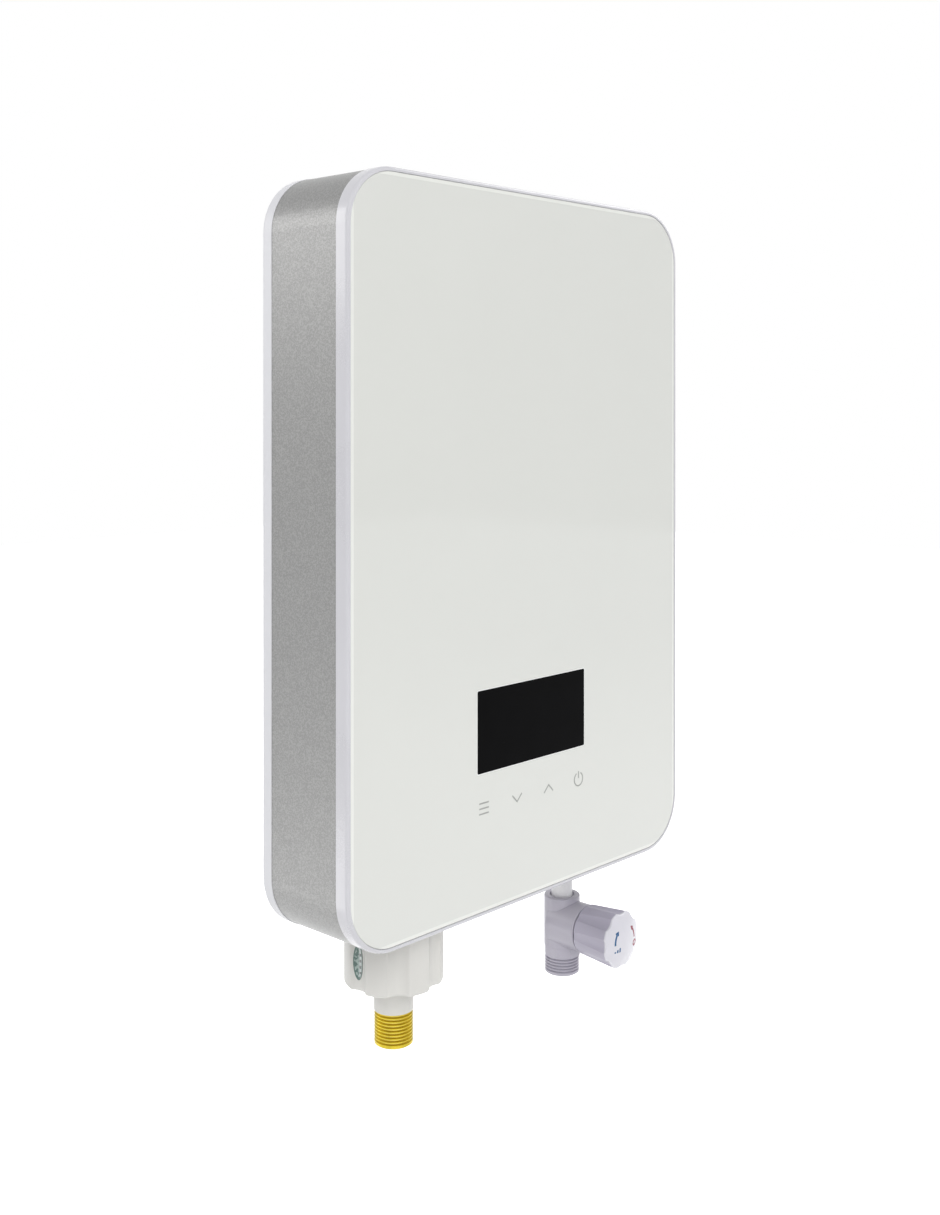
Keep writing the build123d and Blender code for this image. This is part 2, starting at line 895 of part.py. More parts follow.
def water_seals():
    """Flat seals at the tank's tubes, the pipe ends, the nipple and the valve cartridge."""
    seals = [seal_ring(tube_radius, tube_radius - tube_wall, low, side * tube_x)
             for side in (-1, 1) for low in (tube_bottom - seal_thickness, tube_top)]
    for side in (-1, 1):
        inner = side * (port_face - port_length - seal_thickness)
        outer = side * (port_face - port_length)
        ring = rod_x(pipe_radius, inner, outer, y_water, port_z)
        seals.append(ring - rod_x(pipe_bore, inner, outer, y_water, port_z))
    cold_low = sensor_top - socket_depth
    seals.append(seal_ring(pipe_radius, pipe_bore, cold_low, inlet_x))
    low = sensor_bottom + socket_depth - seal_thickness
    seals.append(seal_ring(inlet_pipe_radius, inlet_pipe_bore, low, inlet_x))
    stub_top = band_bottom + stub_length
    seals.append(seal_ring(pipe_radius, pipe_bore, stub_top - socket_depth, outlet_x))
    nipple_top = housing_bottom + housing_floor + nipple_shank_rise
    seals.append(seal_ring(nipple_shank_radius, nipple_bore, nipple_top, outlet_x))
    return seals + [socket_seal(), cartridge_seal()]


def cold_pipe():
    return header_pipe(1, sensor_top - socket_depth + seal_thickness)


def hot_pipe():
    stub_top = band_bottom + stub_length
    return header_pipe(-1, stub_top - socket_depth + seal_thickness)


def inlet_pipe():
    top = sensor_bottom + socket_depth - seal_thickness
    pipe = rod_z(inlet_pipe_radius, valve_shoulder_z, top, inlet_x, y_water)
    flange = (band_ceiling, band_ceiling + inlet_flange_height)
    pipe += rod_z(inlet_flange_radius, *flange, inlet_x, y_water)
    return pipe - rod_z(inlet_pipe_bore, valve_shoulder_z, top, inlet_x, y_water)


def spider(z_low, x):
    """Cross of thin bars that holds the turbine's shaft."""
    level = z_low + spider_height / 2
    cross = Pos(x, y_water, level) * Box(2 * chamber_radius, spider_width, spider_height)
    cross += Pos(x, y_water, level) * Box(spider_width, 2 * chamber_radius, spider_height)
    cross &= rod_z(chamber_radius, z_low, z_low + spider_height, x, y_water)
    cross += rod_z(spider_hub_radius, z_low, z_low + spider_height, x, y_water)
    return cross


def flow_sensor_body():
    split = sensor_bottom + sensor_split
    body = rod_z(sensor_radius, sensor_bottom, split, inlet_x, y_water)
    pad = (y_water, y_water - sensor_radius - hall_pad)
    body += block((inlet_x - hall_width / 2, inlet_x + hall_width / 2), pad,
                  (sensor_bottom, sensor_bottom + hall_height))
    body -= rod_z(chamber_radius, chamber_bottom, split + overrun, inlet_x, y_water)
    body += spider(chamber_bottom, inlet_x)
    bore = (sensor_bottom, chamber_bottom)
    body -= rod_z(inlet_pipe_bore, *bore, inlet_x, y_water)
    body -= rod_z(inlet_pipe_radius + pipe_gap, sensor_bottom - overrun,
                  sensor_bottom + socket_depth, inlet_x, y_water)
    depth = (chamber_bottom, chamber_bottom + spider_height + overrun)
    return body - rod_z(shaft_radius + running_gap, *depth, inlet_x, y_water)


def flow_sensor_cap():
    split = sensor_bottom + sensor_split
    cap = rod_z(sensor_radius, split, sensor_top, inlet_x, y_water)
    cap -= rod_z(chamber_radius, split - overrun, chamber_top, inlet_x, y_water)
    cap += spider(chamber_top - spider_height, inlet_x)
    cap -= rod_z(pipe_bore, chamber_top, sensor_top, inlet_x, y_water)
    cap -= rod_z(pipe_radius + pipe_gap, sensor_top - socket_depth, sensor_top + overrun,
                 inlet_x, y_water)
    low = chamber_top - spider_height - overrun
    return cap - rod_z(shaft_radius + running_gap, low, chamber_top, inlet_x, y_water)


def turbine_shaft():
    return rod_z(shaft_radius, chamber_bottom, chamber_top, inlet_x, y_water)


def flow_turbine():
    low = chamber_bottom + spider_height + turbine_end_gap
    turbine = rod_z(turbine_hub_radius, low, low + turbine_height, inlet_x, y_water)
    reach = turbine_radius - turbine_hub_radius / 2
    middle = (turbine_radius + turbine_hub_radius / 2) / 2
    blade = Pos(middle, 0, 0) * Rot(turbine_twist, 0, 0) * Box(
        reach, turbine_blade_thickness, turbine_height * turbine_blade_share)
    for i in range(turbine_blades):
        turn = Rot(0, 0, i * 360 / turbine_blades)
        turbine += Pos(inlet_x, y_water, low + turbine_height / 2) * turn * blade
    turbine &= rod_z(turbine_radius, low, low + turbine_height, inlet_x, y_water)
    return turbine - rod_z(shaft_radius + running_gap, low, low + turbine_height, inlet_x, y_water)


def hall_sensor():
    y_back = y_water - sensor_radius - hall_pad
    return block((inlet_x - hall_width / 2, inlet_x + hall_width / 2),
                 (y_back, y_back - hall_depth), (sensor_bottom, sensor_bottom + hall_height))


def pipe_clip(x, radius):
    z_pair = (clip_z - clip_height / 2, clip_z + clip_height / 2)
    outer = radius + pipe_gap + clip_wall
    clip = rod_z(outer, *z_pair, x, y_water)
    clip += block((x - clip_wall, x + clip_wall), (y_water, y_boss), z_pair)
    clip += block_at(x, clip_z, clip_foot_width, clip_height, y_boss, y_boss - clip_foot_thickness)
    clip -= rod_z(radius + pipe_gap, *z_pair, x, y_water)
    for side in (-1, 1):
        clip -= rod_y(clear_radius, y_boss + overrun, y_boss - clip_foot_thickness - overrun,
                      x + side * clip_screw_offset, clip_z)
    return clip


def pipe_clips():
    return [pipe_clip(outlet_x, pipe_radius), pipe_clip(inlet_x, inlet_pipe_radius)]


# Outlet fitting

def lobed_outline():
    outline = Circle(housing_radius)
    centre = housing_radius - housing_valley_depth + housing_valley_radius
    for i in range(housing_lobes):
        angle = radians(180 + i * 360 / housing_lobes)
        outline -= Pos(centre * cos(angle), centre * sin(angle)) * Circle(housing_valley_radius)
    return fillet(outline.vertices(), housing_crest_round)


def insulating_housing():
    housing = extrude(lobed_outline(), housing_top - housing_bottom)
    housing = Pos(outlet_x, y_water, housing_bottom) * housing
    housing = fillet(housing.faces().sort_by(Axis.Z)[0].edges(), housing_bottom_round)
    floor = housing_bottom + housing_floor
    housing -= rod_z(core_radius + core_clearance, floor, housing_top + overrun, outlet_x, y_water)
    return housing - rod_z(nipple_shank_radius + core_clearance, housing_bottom - overrun,
                           floor + overrun, outlet_x, y_water)


def insulating_core():
    """Grooved core with a stub through the casing floor; water runs down its middle."""
    bottom = housing_bottom + housing_floor
    core = rod_z(core_radius, bottom, band_bottom, outlet_x, y_water)
    pitch = (band_bottom - bottom) / (core_grooves + 1)
    for i in range(core_grooves):
        low = bottom + (i + 1) * pitch - core_groove_height / 2
        span = (low, low + core_groove_height)
        ring = rod_z(core_radius + overrun, *span, outlet_x, y_water)
        core -= ring - rod_z(core_radius - core_groove_depth, *span, outlet_x, y_water)
    stub_top = band_bottom + stub_length
    core += rod_z(stub_radius, band_bottom, stub_top, outlet_x, y_water)
    core -= rod_z(core_bore, bottom, stub_top, outlet_x, y_water)
    core -= rod_z(pipe_radius + pipe_gap, stub_top - socket_depth, stub_top + overrun,
                  outlet_x, y_water)
    roof = bottom + nipple_shank_rise + seal_thickness
    return core - rod_z(nipple_shank_radius + pipe_gap, bottom - overrun, roof, outlet_x, y_water)


def outlet_locknut():
    span = (band_ceiling, band_ceiling + locknut_height)
    nut = hex_z(locknut_radius, *span, outlet_x, y_water)
    return nut - rod_z(stub_radius + pipe_gap, *span, outlet_x, y_water)


def outlet_collar():
    step = housing_bottom - collar_step
    bore = nipple_shank_radius + pipe_gap
    shoulder = housing_bottom - collar_shoulder_height
    return turned([(bore, housing_bottom), (collar_shoulder_radius, housing_bottom),
                   (collar_radius, shoulder), (collar_radius, step),
                   (collar_lower_radius, step), (collar_lower_radius, collar_bottom),
                   (bore, collar_bottom)], outlet_x, y_water)


def brass_nipple():
    top = housing_bottom + housing_floor + nipple_shank_rise
    nipple = male_thread(collar_bottom, nipple_thread_length, nipple_bore, outlet_x, y_water)
    nipple += rod_z(nipple_shank_radius, collar_bottom, top, outlet_x, y_water)
    return nipple - rod_z(nipple_bore, collar_bottom - overrun, top + overrun, outlet_x, y_water)


def check_label():
    """Oval label laid in the housing's left valley."""
    x_valley = outlet_x - housing_radius + housing_valley_depth
    centre = x_valley - housing_valley_radius
    z_low = housing_top - label_drop - label_height / 2
    z_high = z_low + label_height
    shell = rod_z(housing_valley_radius, z_low, z_high, centre, y_water)
    shell -= rod_z(housing_valley_radius - label_thickness, z_low, z_high, centre, y_water)
    oval = extrude(Ellipse(label_height / 2, label_width / 2), 2 * housing_valley_radius)
    place = Pos(centre, y_water + label_shift, (z_low + z_high) / 2)
    cutter = place * Rot(0, 90, 0) * oval
    return shell & cutter


# Inlet valve

def valve_body():
    body = rod_z(valve_radius, valve_body_bottom, valve_rim_z, inlet_x, y_water)
    body = fillet(body.faces().sort_by(Axis.Z)[-1].edges(), valve_rim_round)
    branch = rod_y(branch_radius, y_water + branch_start, y_branch_front, inlet_x, valve_axis_z)
    body += fillet(branch.faces().sort_by(Axis.Y)[0].edges(), branch_front_round)
    corner = valve_flats / 2 / cos(radians(180 / valve_flat_count))
    turn = Rot(0, 0, 180 / valve_flat_count)
    prism = extrude(RegularPolygon(corner, valve_flat_count), valve_body_bottom - valve_flats_bottom)
    body += Pos(inlet_x, y_water, valve_flats_bottom) * turn * prism
    body += male_thread(valve_flats_bottom, valve_thread_length, valve_bore, inlet_x, y_water)
    body -= rod_z(valve_bore, valve_end - overrun, valve_rim_z, inlet_x, y_water)
    body -= rod_z(valve_socket_radius, valve_shoulder_z, valve_rim_z + overrun, inlet_x, y_water)
    return body - rod_y(chamber_bore, y_chamber_back, y_branch_front - overrun, inlet_x, valve_axis_z)


def socket_seal():
    low = valve_rim_z - ring_seal_depth - ring_seal_height
    span = (low, low + ring_seal_height)
    ring = rod_z(valve_socket_radius - running_gap, *span, inlet_x, y_water)
    return ring - rod_z(inlet_pipe_radius + running_gap, *span, inlet_x, y_water)


def inlet_filter():
    """Strainer disc across the inlet thread's bore."""
    span = (valve_end + filter_thickness, valve_end + 2 * filter_thickness)
    disc = rod_z(filter_radius, *span, inlet_x, y_water)
    hole = rod_z(filter_radius - filter_rim, *span, inlet_x, y_water)
    pitch = 2 * (filter_radius - filter_rim) / (filter_bars + 1)
    level = (span[0] + span[1]) / 2
    bars = None
    for i in range(filter_bars):
        shift = (i - (filter_bars - 1) / 2) * pitch
        bar_x = Box(2 * filter_radius, filter_bar_width, filter_thickness)
        bar_y = Box(filter_bar_width, 2 * filter_radius, filter_thickness)
        pair = Pos(inlet_x, y_water + shift, level) * bar_x
        pair += Pos(inlet_x + shift, y_water, level) * bar_y
        bars = pair if bars is None else bars + pair
    return (disc - hole) + (bars & hole)


def cartridge_stations():
    """Depths of the cartridge: lower disc, upper disc, spindle foot and the sleeve's roof."""
    y_seal = y_chamber_back - cartridge_seal_height
    y_discs = y_seal - disc_thickness
    y_upper = y_discs - disc_thickness
    y_foot = y_upper - spindle_foot_thickness
    return y_seal, y_discs, y_upper, y_foot


def valve_cartridge():
    """Brass sleeve that holds the ceramic discs and guides the spindle."""
    y_seal, _, _, y_foot = cartridge_stations()
    y_neck = y_branch_front - cartridge_neck_length
    sleeve = rod_y(chamber_bore - cartridge_gap, y_seal, y_branch_front, inlet_x, valve_axis_z)
    sleeve += rod_y(cartridge_neck_radius, y_branch_front, y_neck, inlet_x, valve_axis_z)
    y_roof = y_foot - spindle_foot_gap
    sleeve -= rod_y(disc_radius + cartridge_gap, y_seal, y_roof, inlet_x, valve_axis_z)
    return sleeve - rod_y(spindle_radius + running_gap, y_roof + overrun, y_neck - overrun,
                          inlet_x, valve_axis_z)


def cartridge_seal():
    y_seal = y_chamber_back - cartridge_seal_height
    ring = rod_y(chamber_bore - cartridge_gap, y_chamber_back, y_seal, inlet_x, valve_axis_z)
    return ring - rod_y(disc_port_offset + disc_port_radius, y_chamber_back, y_seal,
                        inlet_x, valve_axis_z)


def ceramic_disc(y_back):
    disc = rod_y(disc_radius, y_back, y_back - disc_thickness, inlet_x, valve_axis_z)
    return disc - rod_y(disc_port_radius, y_back, y_back - disc_thickness,
                        inlet_x, valve_axis_z + disc_port_offset)


def ceramic_disc_fixed():
    return ceramic_disc(cartridge_stations()[0])


def ceramic_disc_turning():
    return ceramic_disc(cartridge_stations()[1])


def valve_spindle():
    _, _, y_upper, y_foot = cartridge_stations()
    spindle = rod_y(spindle_foot_radius, y_upper, y_foot, inlet_x, valve_axis_z)
    spindle += rod_y(spindle_radius, y_foot, y_spindle_tip, inlet_x, valve_axis_z)
    return spindle - rod_y(knob_screw_radius + running_gap, y_spindle_tip + knob_screw_length,
                           y_spindle_tip - overrun, inlet_x, valve_axis_z)


def knob_blank(length):
    """Fluted cone about the Y axis at the origin, rear at zero, front at -length."""
    widening = (knob_front_radius - knob_rear_radius) / knob_length
    cone = Rot(90, 0, 0) * Pos(0, 0, length / 2) * Cone(
        knob_rear_radius, knob_rear_radius + widening * length, length)
    rear = knob_rear_radius + knob_flute_radius - knob_flute_rear
    front = knob_front_radius + knob_flute_radius - knob_flute_front
    for i in range(knob_flutes):
        angle = radians(i * 360 / knob_flutes)
        start = Vector(rear * cos(angle), 0, rear * sin(angle))
        end = Vector(front * cos(angle), -knob_length, front * sin(angle))
        along = end - start
        groove = Plane(start - along, z_dir=along) * extrude(
            Circle(knob_flute_radius), 3 * along.length)
        cone -= groove
    return Pos(inlet_x, y_knob_rear, valve_axis_z) * cone


def valve_knob():
    knob = knob_blank(knob_length - cap_rim)
    y_web_back = y_plug_back + knob_web
    skirt = knob_rear_radius - knob_skirt_wall
    knob -= rod_y(skirt, y_knob_rear + overrun, y_web_back, inlet_x, valve_axis_z)
    knob += rod_y(knob_hub_radius, y_web_back + knob_hub_length, y_web_back, inlet_x, valve_axis_z)
    knob -= rod_y(spindle_radius + running_gap, y_web_back + knob_hub_length + overrun,
                  y_spindle_tip, inlet_x, valve_axis_z)
    knob -= rod_y(knob_screw_radius + fit_gap, y_spindle_tip + overrun, y_knob_front,
                  inlet_x, valve_axis_z)
    y_screw_seat = y_plug_back + screw_head_height + plug_gap
    knob -= rod_y(knob_screw_head + fit_gap, y_screw_seat, y_knob_front, inlet_x, valve_axis_z)
    return knob - rod_y(plug_radius + plug_gap, y_plug_back, y_knob_front,
                        inlet_x, valve_axis_z)


def knob_screw():
    y_screw_seat = y_plug_back + screw_head_height + plug_gap
    reach = y_spindle_tip + knob_screw_length - pilot_extra - y_screw_seat
    return pan_screw(inlet_x, y_screw_seat, valve_axis_z, reach, way=1,
                     radius=knob_screw_radius, head=knob_screw_head)


def knob_face():
    """Domed cap over the knob's front, scalloped like it, with a plug into its recess."""
    ball = (knob_front_radius ** 2 + cap_rise ** 2) / (2 * cap_rise)
    y_dome = y_knob_front - cap_rise
    size = 3 * knob_front_radius
    cap = knob_blank(knob_length + cap_rise + overrun)
    cap &= block_at(inlet_x, valve_axis_z, size, size, y_cap_back, y_dome - overrun)
    cap &= Pos(inlet_x, y_dome + ball, valve_axis_z) * Sphere(ball)
    cap = fillet(cap.faces().sort_by(Axis.Y)[0].edges(), cap_edge_round)
    return cap + rod_y(plug_radius, y_plug_back, y_cap_back, inlet_x, valve_axis_z)


# Power board

def power_board():
    board = block_at(power_x, power_z, power_width, power_height, y_boss, y_power_front)
    for x, z in power_screw_places():
        board -= rod_y(clear_radius, y_boss + overrun, y_power_front - overrun, x, z)
    return board


def heat_sink():
    z = power_foot + sink_level
    x = power_edge - sink_inset
    depth = (y_power_front, y_power_front - sink_depth)
    sink = block_at(x, z, sink_spine, sink_height, *depth)
    pitch = (sink_depth - sink_fin_thickness) / (sink_fins - 1)
    for i in range(sink_fins):
        y = y_power_front - i * pitch
        sink += block((x, x + sink_spine / 2 + sink_fin_length), (y, y - sink_fin_thickness),
                      (z - sink_height / 2, z + sink_height / 2))
    return sink


def triacs():
    """Two flat power switches on the sink's side, on their leads."""
    x_face = power_edge - sink_inset - sink_spine / 2
    x_pair = (x_face, x_face - triac_thickness)
    y_low = y_power_front - triac_lift
    found = []
    for side in (-1, 1):
        z = power_foot + sink_level + side * triac_spacing / 2
        triac = block(x_pair, (y_low, y_low - triac_length),
                      (z - triac_width / 2, z + triac_width / 2))
        for lead in (-1, 0, 1):
            triac += block_at(sum(x_pair) / 2, z + lead * triac_lead_pitch, triac_lead,
                              triac_lead, y_power_front, y_low)
        found.append(triac)
    return found


def relay_x(side):
    return power_edge - relay_inset + side * relay_spacing / 2


def power_relays():
    z = power_foot + relay_level
    return [block_at(relay_x(side), z, relay_width, relay_height, y_power_front,
                     y_power_front - relay_depth) for side in (-1, 1)]


def board_parts():
    """Choke, capacitors and the sockets of both boards."""
    choke = block_at(power_edge - choke_inset, power_foot + choke_level, choke_width,
                     choke_height, y_power_front, y_power_front - choke_depth)
    parts = [choke, board_socket(), control_socket()]
    for i in range(capacitor_count):
        z = power_foot + capacitor_level + i * capacitor_spacing
        parts.append(rod_y(capacitor_radius, y_power_front, y_power_front - capacitor_length,
                           power_outer + capacitor_edge, z))
    return parts


def board_socket():
    return block_at(power_x, power_foot + power_height - socket_drop, socket_width, socket_height,
                    y_power_front, y_power_front - socket_thickness)


def control_socket():
    x = control_board_width / 2 - control_socket_inset
    z = control_z + control_board_height / 2 - socket_height
    return block_at(x, z, socket_width, socket_height,
                    y_control_back + socket_thickness, y_control_back)


# Mains connection

def terminal_block():
    body = block_at(block_x, block_z, block_width, block_height, y_block_back, y_block_front)
    for i in range(block_poles):
        x = block_x + (i - (block_poles - 1) / 2) * block_pole_pitch
        slot = (x - block_pole_pitch / 2 + block_wall, x + block_pole_pitch / 2 - block_wall)
        body -= block(slot, (y_block_front + block_slot_depth, y_block_front - overrun),
                      (block_z - block_height, block_z + block_height))
    return body


def terminal_screws():
    found = []
    for i in range(block_poles):
        x = block_x + (i - (block_poles - 1) / 2) * block_pole_pitch
        for side in (-1, 1):
            z = block_z + side * block_height / 4
            y_floor = y_block_front + block_slot_depth
            screw = rod_y(block_screw_radius, y_floor, y_floor - block_screw_height, x, z)
            y_slot = y_floor - block_screw_height
            found.append(screw - block_at(x, z, 2 * block_screw_radius, screw_slot_width,
                                          y_slot + screw_slot_depth, y_slot - overrun))
    return found


def earth_stud():
    y_nut = y_boss - stud_washer_thickness
    stud = rod_y(stud_radius, -floor_thickness, -floor_thickness - stud_length, stud_x, stud_z)
    stud += rod_y(stud_washer_radius, y_boss, y_nut, stud_x, stud_z)
    nut = Rot(90, 0, 0) * extrude(RegularPolygon(stud_nut_radius, 6), stud_nut_height)
    return stud + Pos(stud_x, y_nut, stud_z) * nut


def gland_body():
    rise = band_ceiling + gland_rise
    body = rod_z(gland_radius, gland_low, rise, 0, y_gland)
    body += hex_z(gland_flange_radius, gland_low, band_bottom, 0, y_gland)
    return body - rod_z(gland_bore, gland_low, rise, 0, y_gland)


def gland_locknut():
    span = (band_ceiling, band_ceiling + gland_nut_height)
    nut = hex_z(gland_nut_radius, *span, 0, y_gland)
    return nut - rod_z(gland_radius + pipe_gap, *span, 0, y_gland)


def gland_cap():
    low = gland_low - gland_cap_height
    cap = rod_z(gland_cap_radius, low, gland_low, 0, y_gland)
    cap = fillet(cap.faces().sort_by(Axis.Z)[0].edges(), gland_cap_wall)
    cap -= rod_z(gland_cap_radius - gland_cap_wall, low + gland_lip, gland_low + overrun, 0, y_gland)
    return cap - rod_z(gland_bore, low - overrun, gland_low, 0, y_gland)


def gland_bush():
    high = gland_low
    span = (high - gland_bush_height + gland_lip, high)
    bush = rod_z(gland_cap_radius - gland_cap_wall - pipe_gap, *span, 0, y_gland)
    return bush - rod_z(gland_bush_bore, *span, 0, y_gland)


# Wires inside the casing; the supply cable itself is not part of the model

def pole_end(index):
    """Top of a terminal block pole, where its wire starts."""
    x = block_x + (index - (block_poles - 1) / 2) * block_pole_pitch
    return x, (y_block_back + y_block_front) / 2, block_z + block_height / 2


def relay_end(side):
    top = power_foot + relay_level + relay_height / 2
    return relay_x(side), y_power_front - relay_depth / 2, top


def element_end(side):
    top = header_roof_z + element_flange_thickness + element_stub + terminal_height
    return side * tube_x, y_water - element_leg_offset, top


def above_header(route):
    return [(x, y_water + y, header_roof_z + z) for x, y, z in route]


def risen(point, rise):
    x, y, z = point
    return x, y, z + rise


def inner_wires():
    """Live, neutral, heater and earth wires, each along its own hand-laid route."""
    near, far = relay_end(1), relay_end(-1)
    live = wire([pole_end(0), *above_header(live_route), risen(near, relay_wire_rise), near])
    neutral = wire([pole_end(2), *above_header(neutral_route), element_end(1)])
    heater = wire([far, risen(far, relay_wire_rise), *above_header(heater_route),
                   element_end(-1)])
    start = risen(pole_end(1), -block_height)
    stud_top = (stud_x, y_boss - stud_washer_thickness - stud_nut_height / 2,
                stud_z + stud_nut_radius)
    earth = wire([start, risen(start, -earth_wire_drop), risen(stud_top, earth_wire_rise),
                  stud_top])
    return [live, neutral, heater, earth]


def main():
    os.makedirs("parts", exist_ok=True)
    makers = [
        rear_cover, wall_bracket, side_band, front_frame, glass_panel, glass_tape, case_screws,
        display_lens, led_display, control_board, key_springs, bottom_header, top_header,
        tank_tubes, heating_elements, element_terminals, thermal_cutouts, temperature_probes,
        inner_screws, cold_pipe, hot_pipe, inlet_pipe, pipe_clips, water_seals,
        flow_sensor_body, flow_sensor_cap, turbine_shaft, flow_turbine, hall_sensor,
        insulating_housing, insulating_core, outlet_locknut, outlet_collar, brass_nipple,
        check_label, valve_body, inlet_filter, valve_cartridge, ceramic_disc_fixed,
        ceramic_disc_turning, valve_spindle, valve_knob, knob_screw, knob_face, power_board,
        heat_sink, triacs, power_relays, board_parts, terminal_block, terminal_screws,
        earth_stud, gland_body, gland_locknut, gland_cap, gland_bush, inner_wires,
    ]
    made = {maker.__name__: maker() for maker in makers}
    made["reset_button_left"] = reset_button(-1)
    made["reset_button_right"] = reset_button(1)
    for name, shape in made.items():
        pieces = shape if isinstance(shape, list) else [shape]
        solids = [solid for piece in pieces for solid in piece.solids()]
        export_step(Compound(children=solids), f"parts/{name}.step")
        print(name, len(solids), "solids,", round(sum(s.volume for s in solids)), "cubic mm")


main()
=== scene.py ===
import math

import bmesh
import bpy
from bpy.props import FloatProperty, FloatVectorProperty, PointerProperty
from mathutils import Matrix, Vector
from mathutils.bvhtree import BVHTree


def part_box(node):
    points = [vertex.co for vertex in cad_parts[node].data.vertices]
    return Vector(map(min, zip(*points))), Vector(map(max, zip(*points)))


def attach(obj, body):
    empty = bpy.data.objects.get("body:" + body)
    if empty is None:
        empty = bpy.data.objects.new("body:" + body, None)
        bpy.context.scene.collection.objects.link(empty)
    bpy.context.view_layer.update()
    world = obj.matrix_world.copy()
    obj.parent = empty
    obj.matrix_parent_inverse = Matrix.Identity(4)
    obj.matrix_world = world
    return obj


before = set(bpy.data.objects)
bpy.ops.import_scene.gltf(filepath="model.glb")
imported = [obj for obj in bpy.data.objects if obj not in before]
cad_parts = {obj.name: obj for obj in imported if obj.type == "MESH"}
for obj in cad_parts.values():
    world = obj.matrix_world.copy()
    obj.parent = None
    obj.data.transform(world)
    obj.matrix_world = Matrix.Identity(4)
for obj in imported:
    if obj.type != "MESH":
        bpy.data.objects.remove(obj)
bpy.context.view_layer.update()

bl_info = {
    "name": "Wall-hung Electric Water Heater",
    "version": (1, 0, 0),
    "blender": (4, 5, 0),
    "location": "3D View > Sidebar > Water Heater",
    "description": "Finishes, printed marks and studio for a wall-hung electric water heater",
    "category": "Object",
}

MM = 0.001

# Turned metal: spacing and depth of the lines round it
LATHE_PITCH = 0.12 * MM
LATHE_DEPTH = 0.004 * MM

# Prints: how they are drawn and laid on what carries them
CORNER_STEPS = 6
RING_STEPS = 24
MITRE_LIMIT = 0.35
GROUND_MARGIN = 5 * MM

# Touch marks, from the middle of each
MENU_HALF = 3.85 * MM
MENU_GAP = 2.85 * MM
CHEVRON_HALF = 4.0 * MM
CHEVRON_RISE = 2.0 * MM
POWER_RADIUS = 3.85 * MM
POWER_OPENING = 28
POWER_STEPS = 36
POWER_STEM = (0.6 * MM, 4.6 * MM)

# Signs on the knob's cap, from its middle; turns are in degrees, counter-clockwise from +X
ARROW_RADIUS = 9.2 * MM
ARROW_STEPS = 16
ARROW_STROKE = 1.2 * MM
ARROW_HEAD = (2.9 * MM, 2.3 * MM, 1.6 * MM, 0.9 * MM, 0.1 * MM)
MORE_TURN = (184, 130)
LESS_TURN = (0, 52)
SIGN_STROKE = 1.1 * MM
BAR_FOOT = -5.2 * MM
BARS = ((-9.0 * MM, -4.2 * MM), (-7.2 * MM, -3.4 * MM), (-5.4 * MM, -2.6 * MM))
RING_PLACE = (9.6 * MM, -3.4 * MM)
RING_RADIUS = 1.6 * MM

# Studio
FLOOR_LEVEL = -0.62
FLOOR_REACH = 6.0
FLOOR_PAPER = (0.84, 0.84, 0.84)
FLOOR_GLOW = (0.8, 0.8, 0.8)
SKY_TINT = (0.97, 0.98, 1.0)
SKY_STRENGTH = 0.45
WHITE = (1.0, 1.0, 1.0)
BLACK = (0.0, 0.0, 0.0)
LAMP_TINT = (1.0, 0.995, 0.985)
LAMP_AIM = (0.0, -0.03, -0.05)
LAMPS = (  # name, place, diameter, power, and whether glossy faces mirror it
    ("key_lamp", (-1.3, -1.9, 1.4), 1.6, 26.0, False),
    ("right_lamp", (1.9, -0.5, 1.3), 1.4, 14.0, True),
    ("left_high_lamp", (-0.72, 0.66, 0.40), 0.45, 1.7, True),
    ("left_low_lamp", (-0.7, 0.62, -0.5), 0.22, 0.36, True),
    ("front_low_lamp", (-0.95, -1.45, -0.35), 0.45, 1.9, False),
    ("back_lamp", (1.3, 2.0, 1.7), 1.2, 24.0, False),
)
CAMERA_PLACE = (-0.599, -0.575, 0.0758)
CAMERA_RIGHT = (0.6813, -0.7320, 0.0)
CAMERA_FORWARD = (0.7320, 0.6813, 0.0)
CAMERA_LENS = 53.617
CAMERA_SENSOR = 36.0
CAMERA_SHIFT = -0.2113
CAMERA_RANGE = (0.05, 30.0)


# Sizes and colours that a user would change

def colour(label, description, value):
    return FloatVectorProperty(name=label, description=description, default=value,
                               size=3, min=0.0, max=1.0, subtype="COLOR")


def length(label, description, value):
    return FloatProperty(name=label, description=description, default=value,
                         min=0.0, unit="LENGTH", subtype="DISTANCE", precision=5)


def share(label, description, value):
    return FloatProperty(name=label, description=description, default=value,
                         min=0.0, max=1.0, subtype="FACTOR")


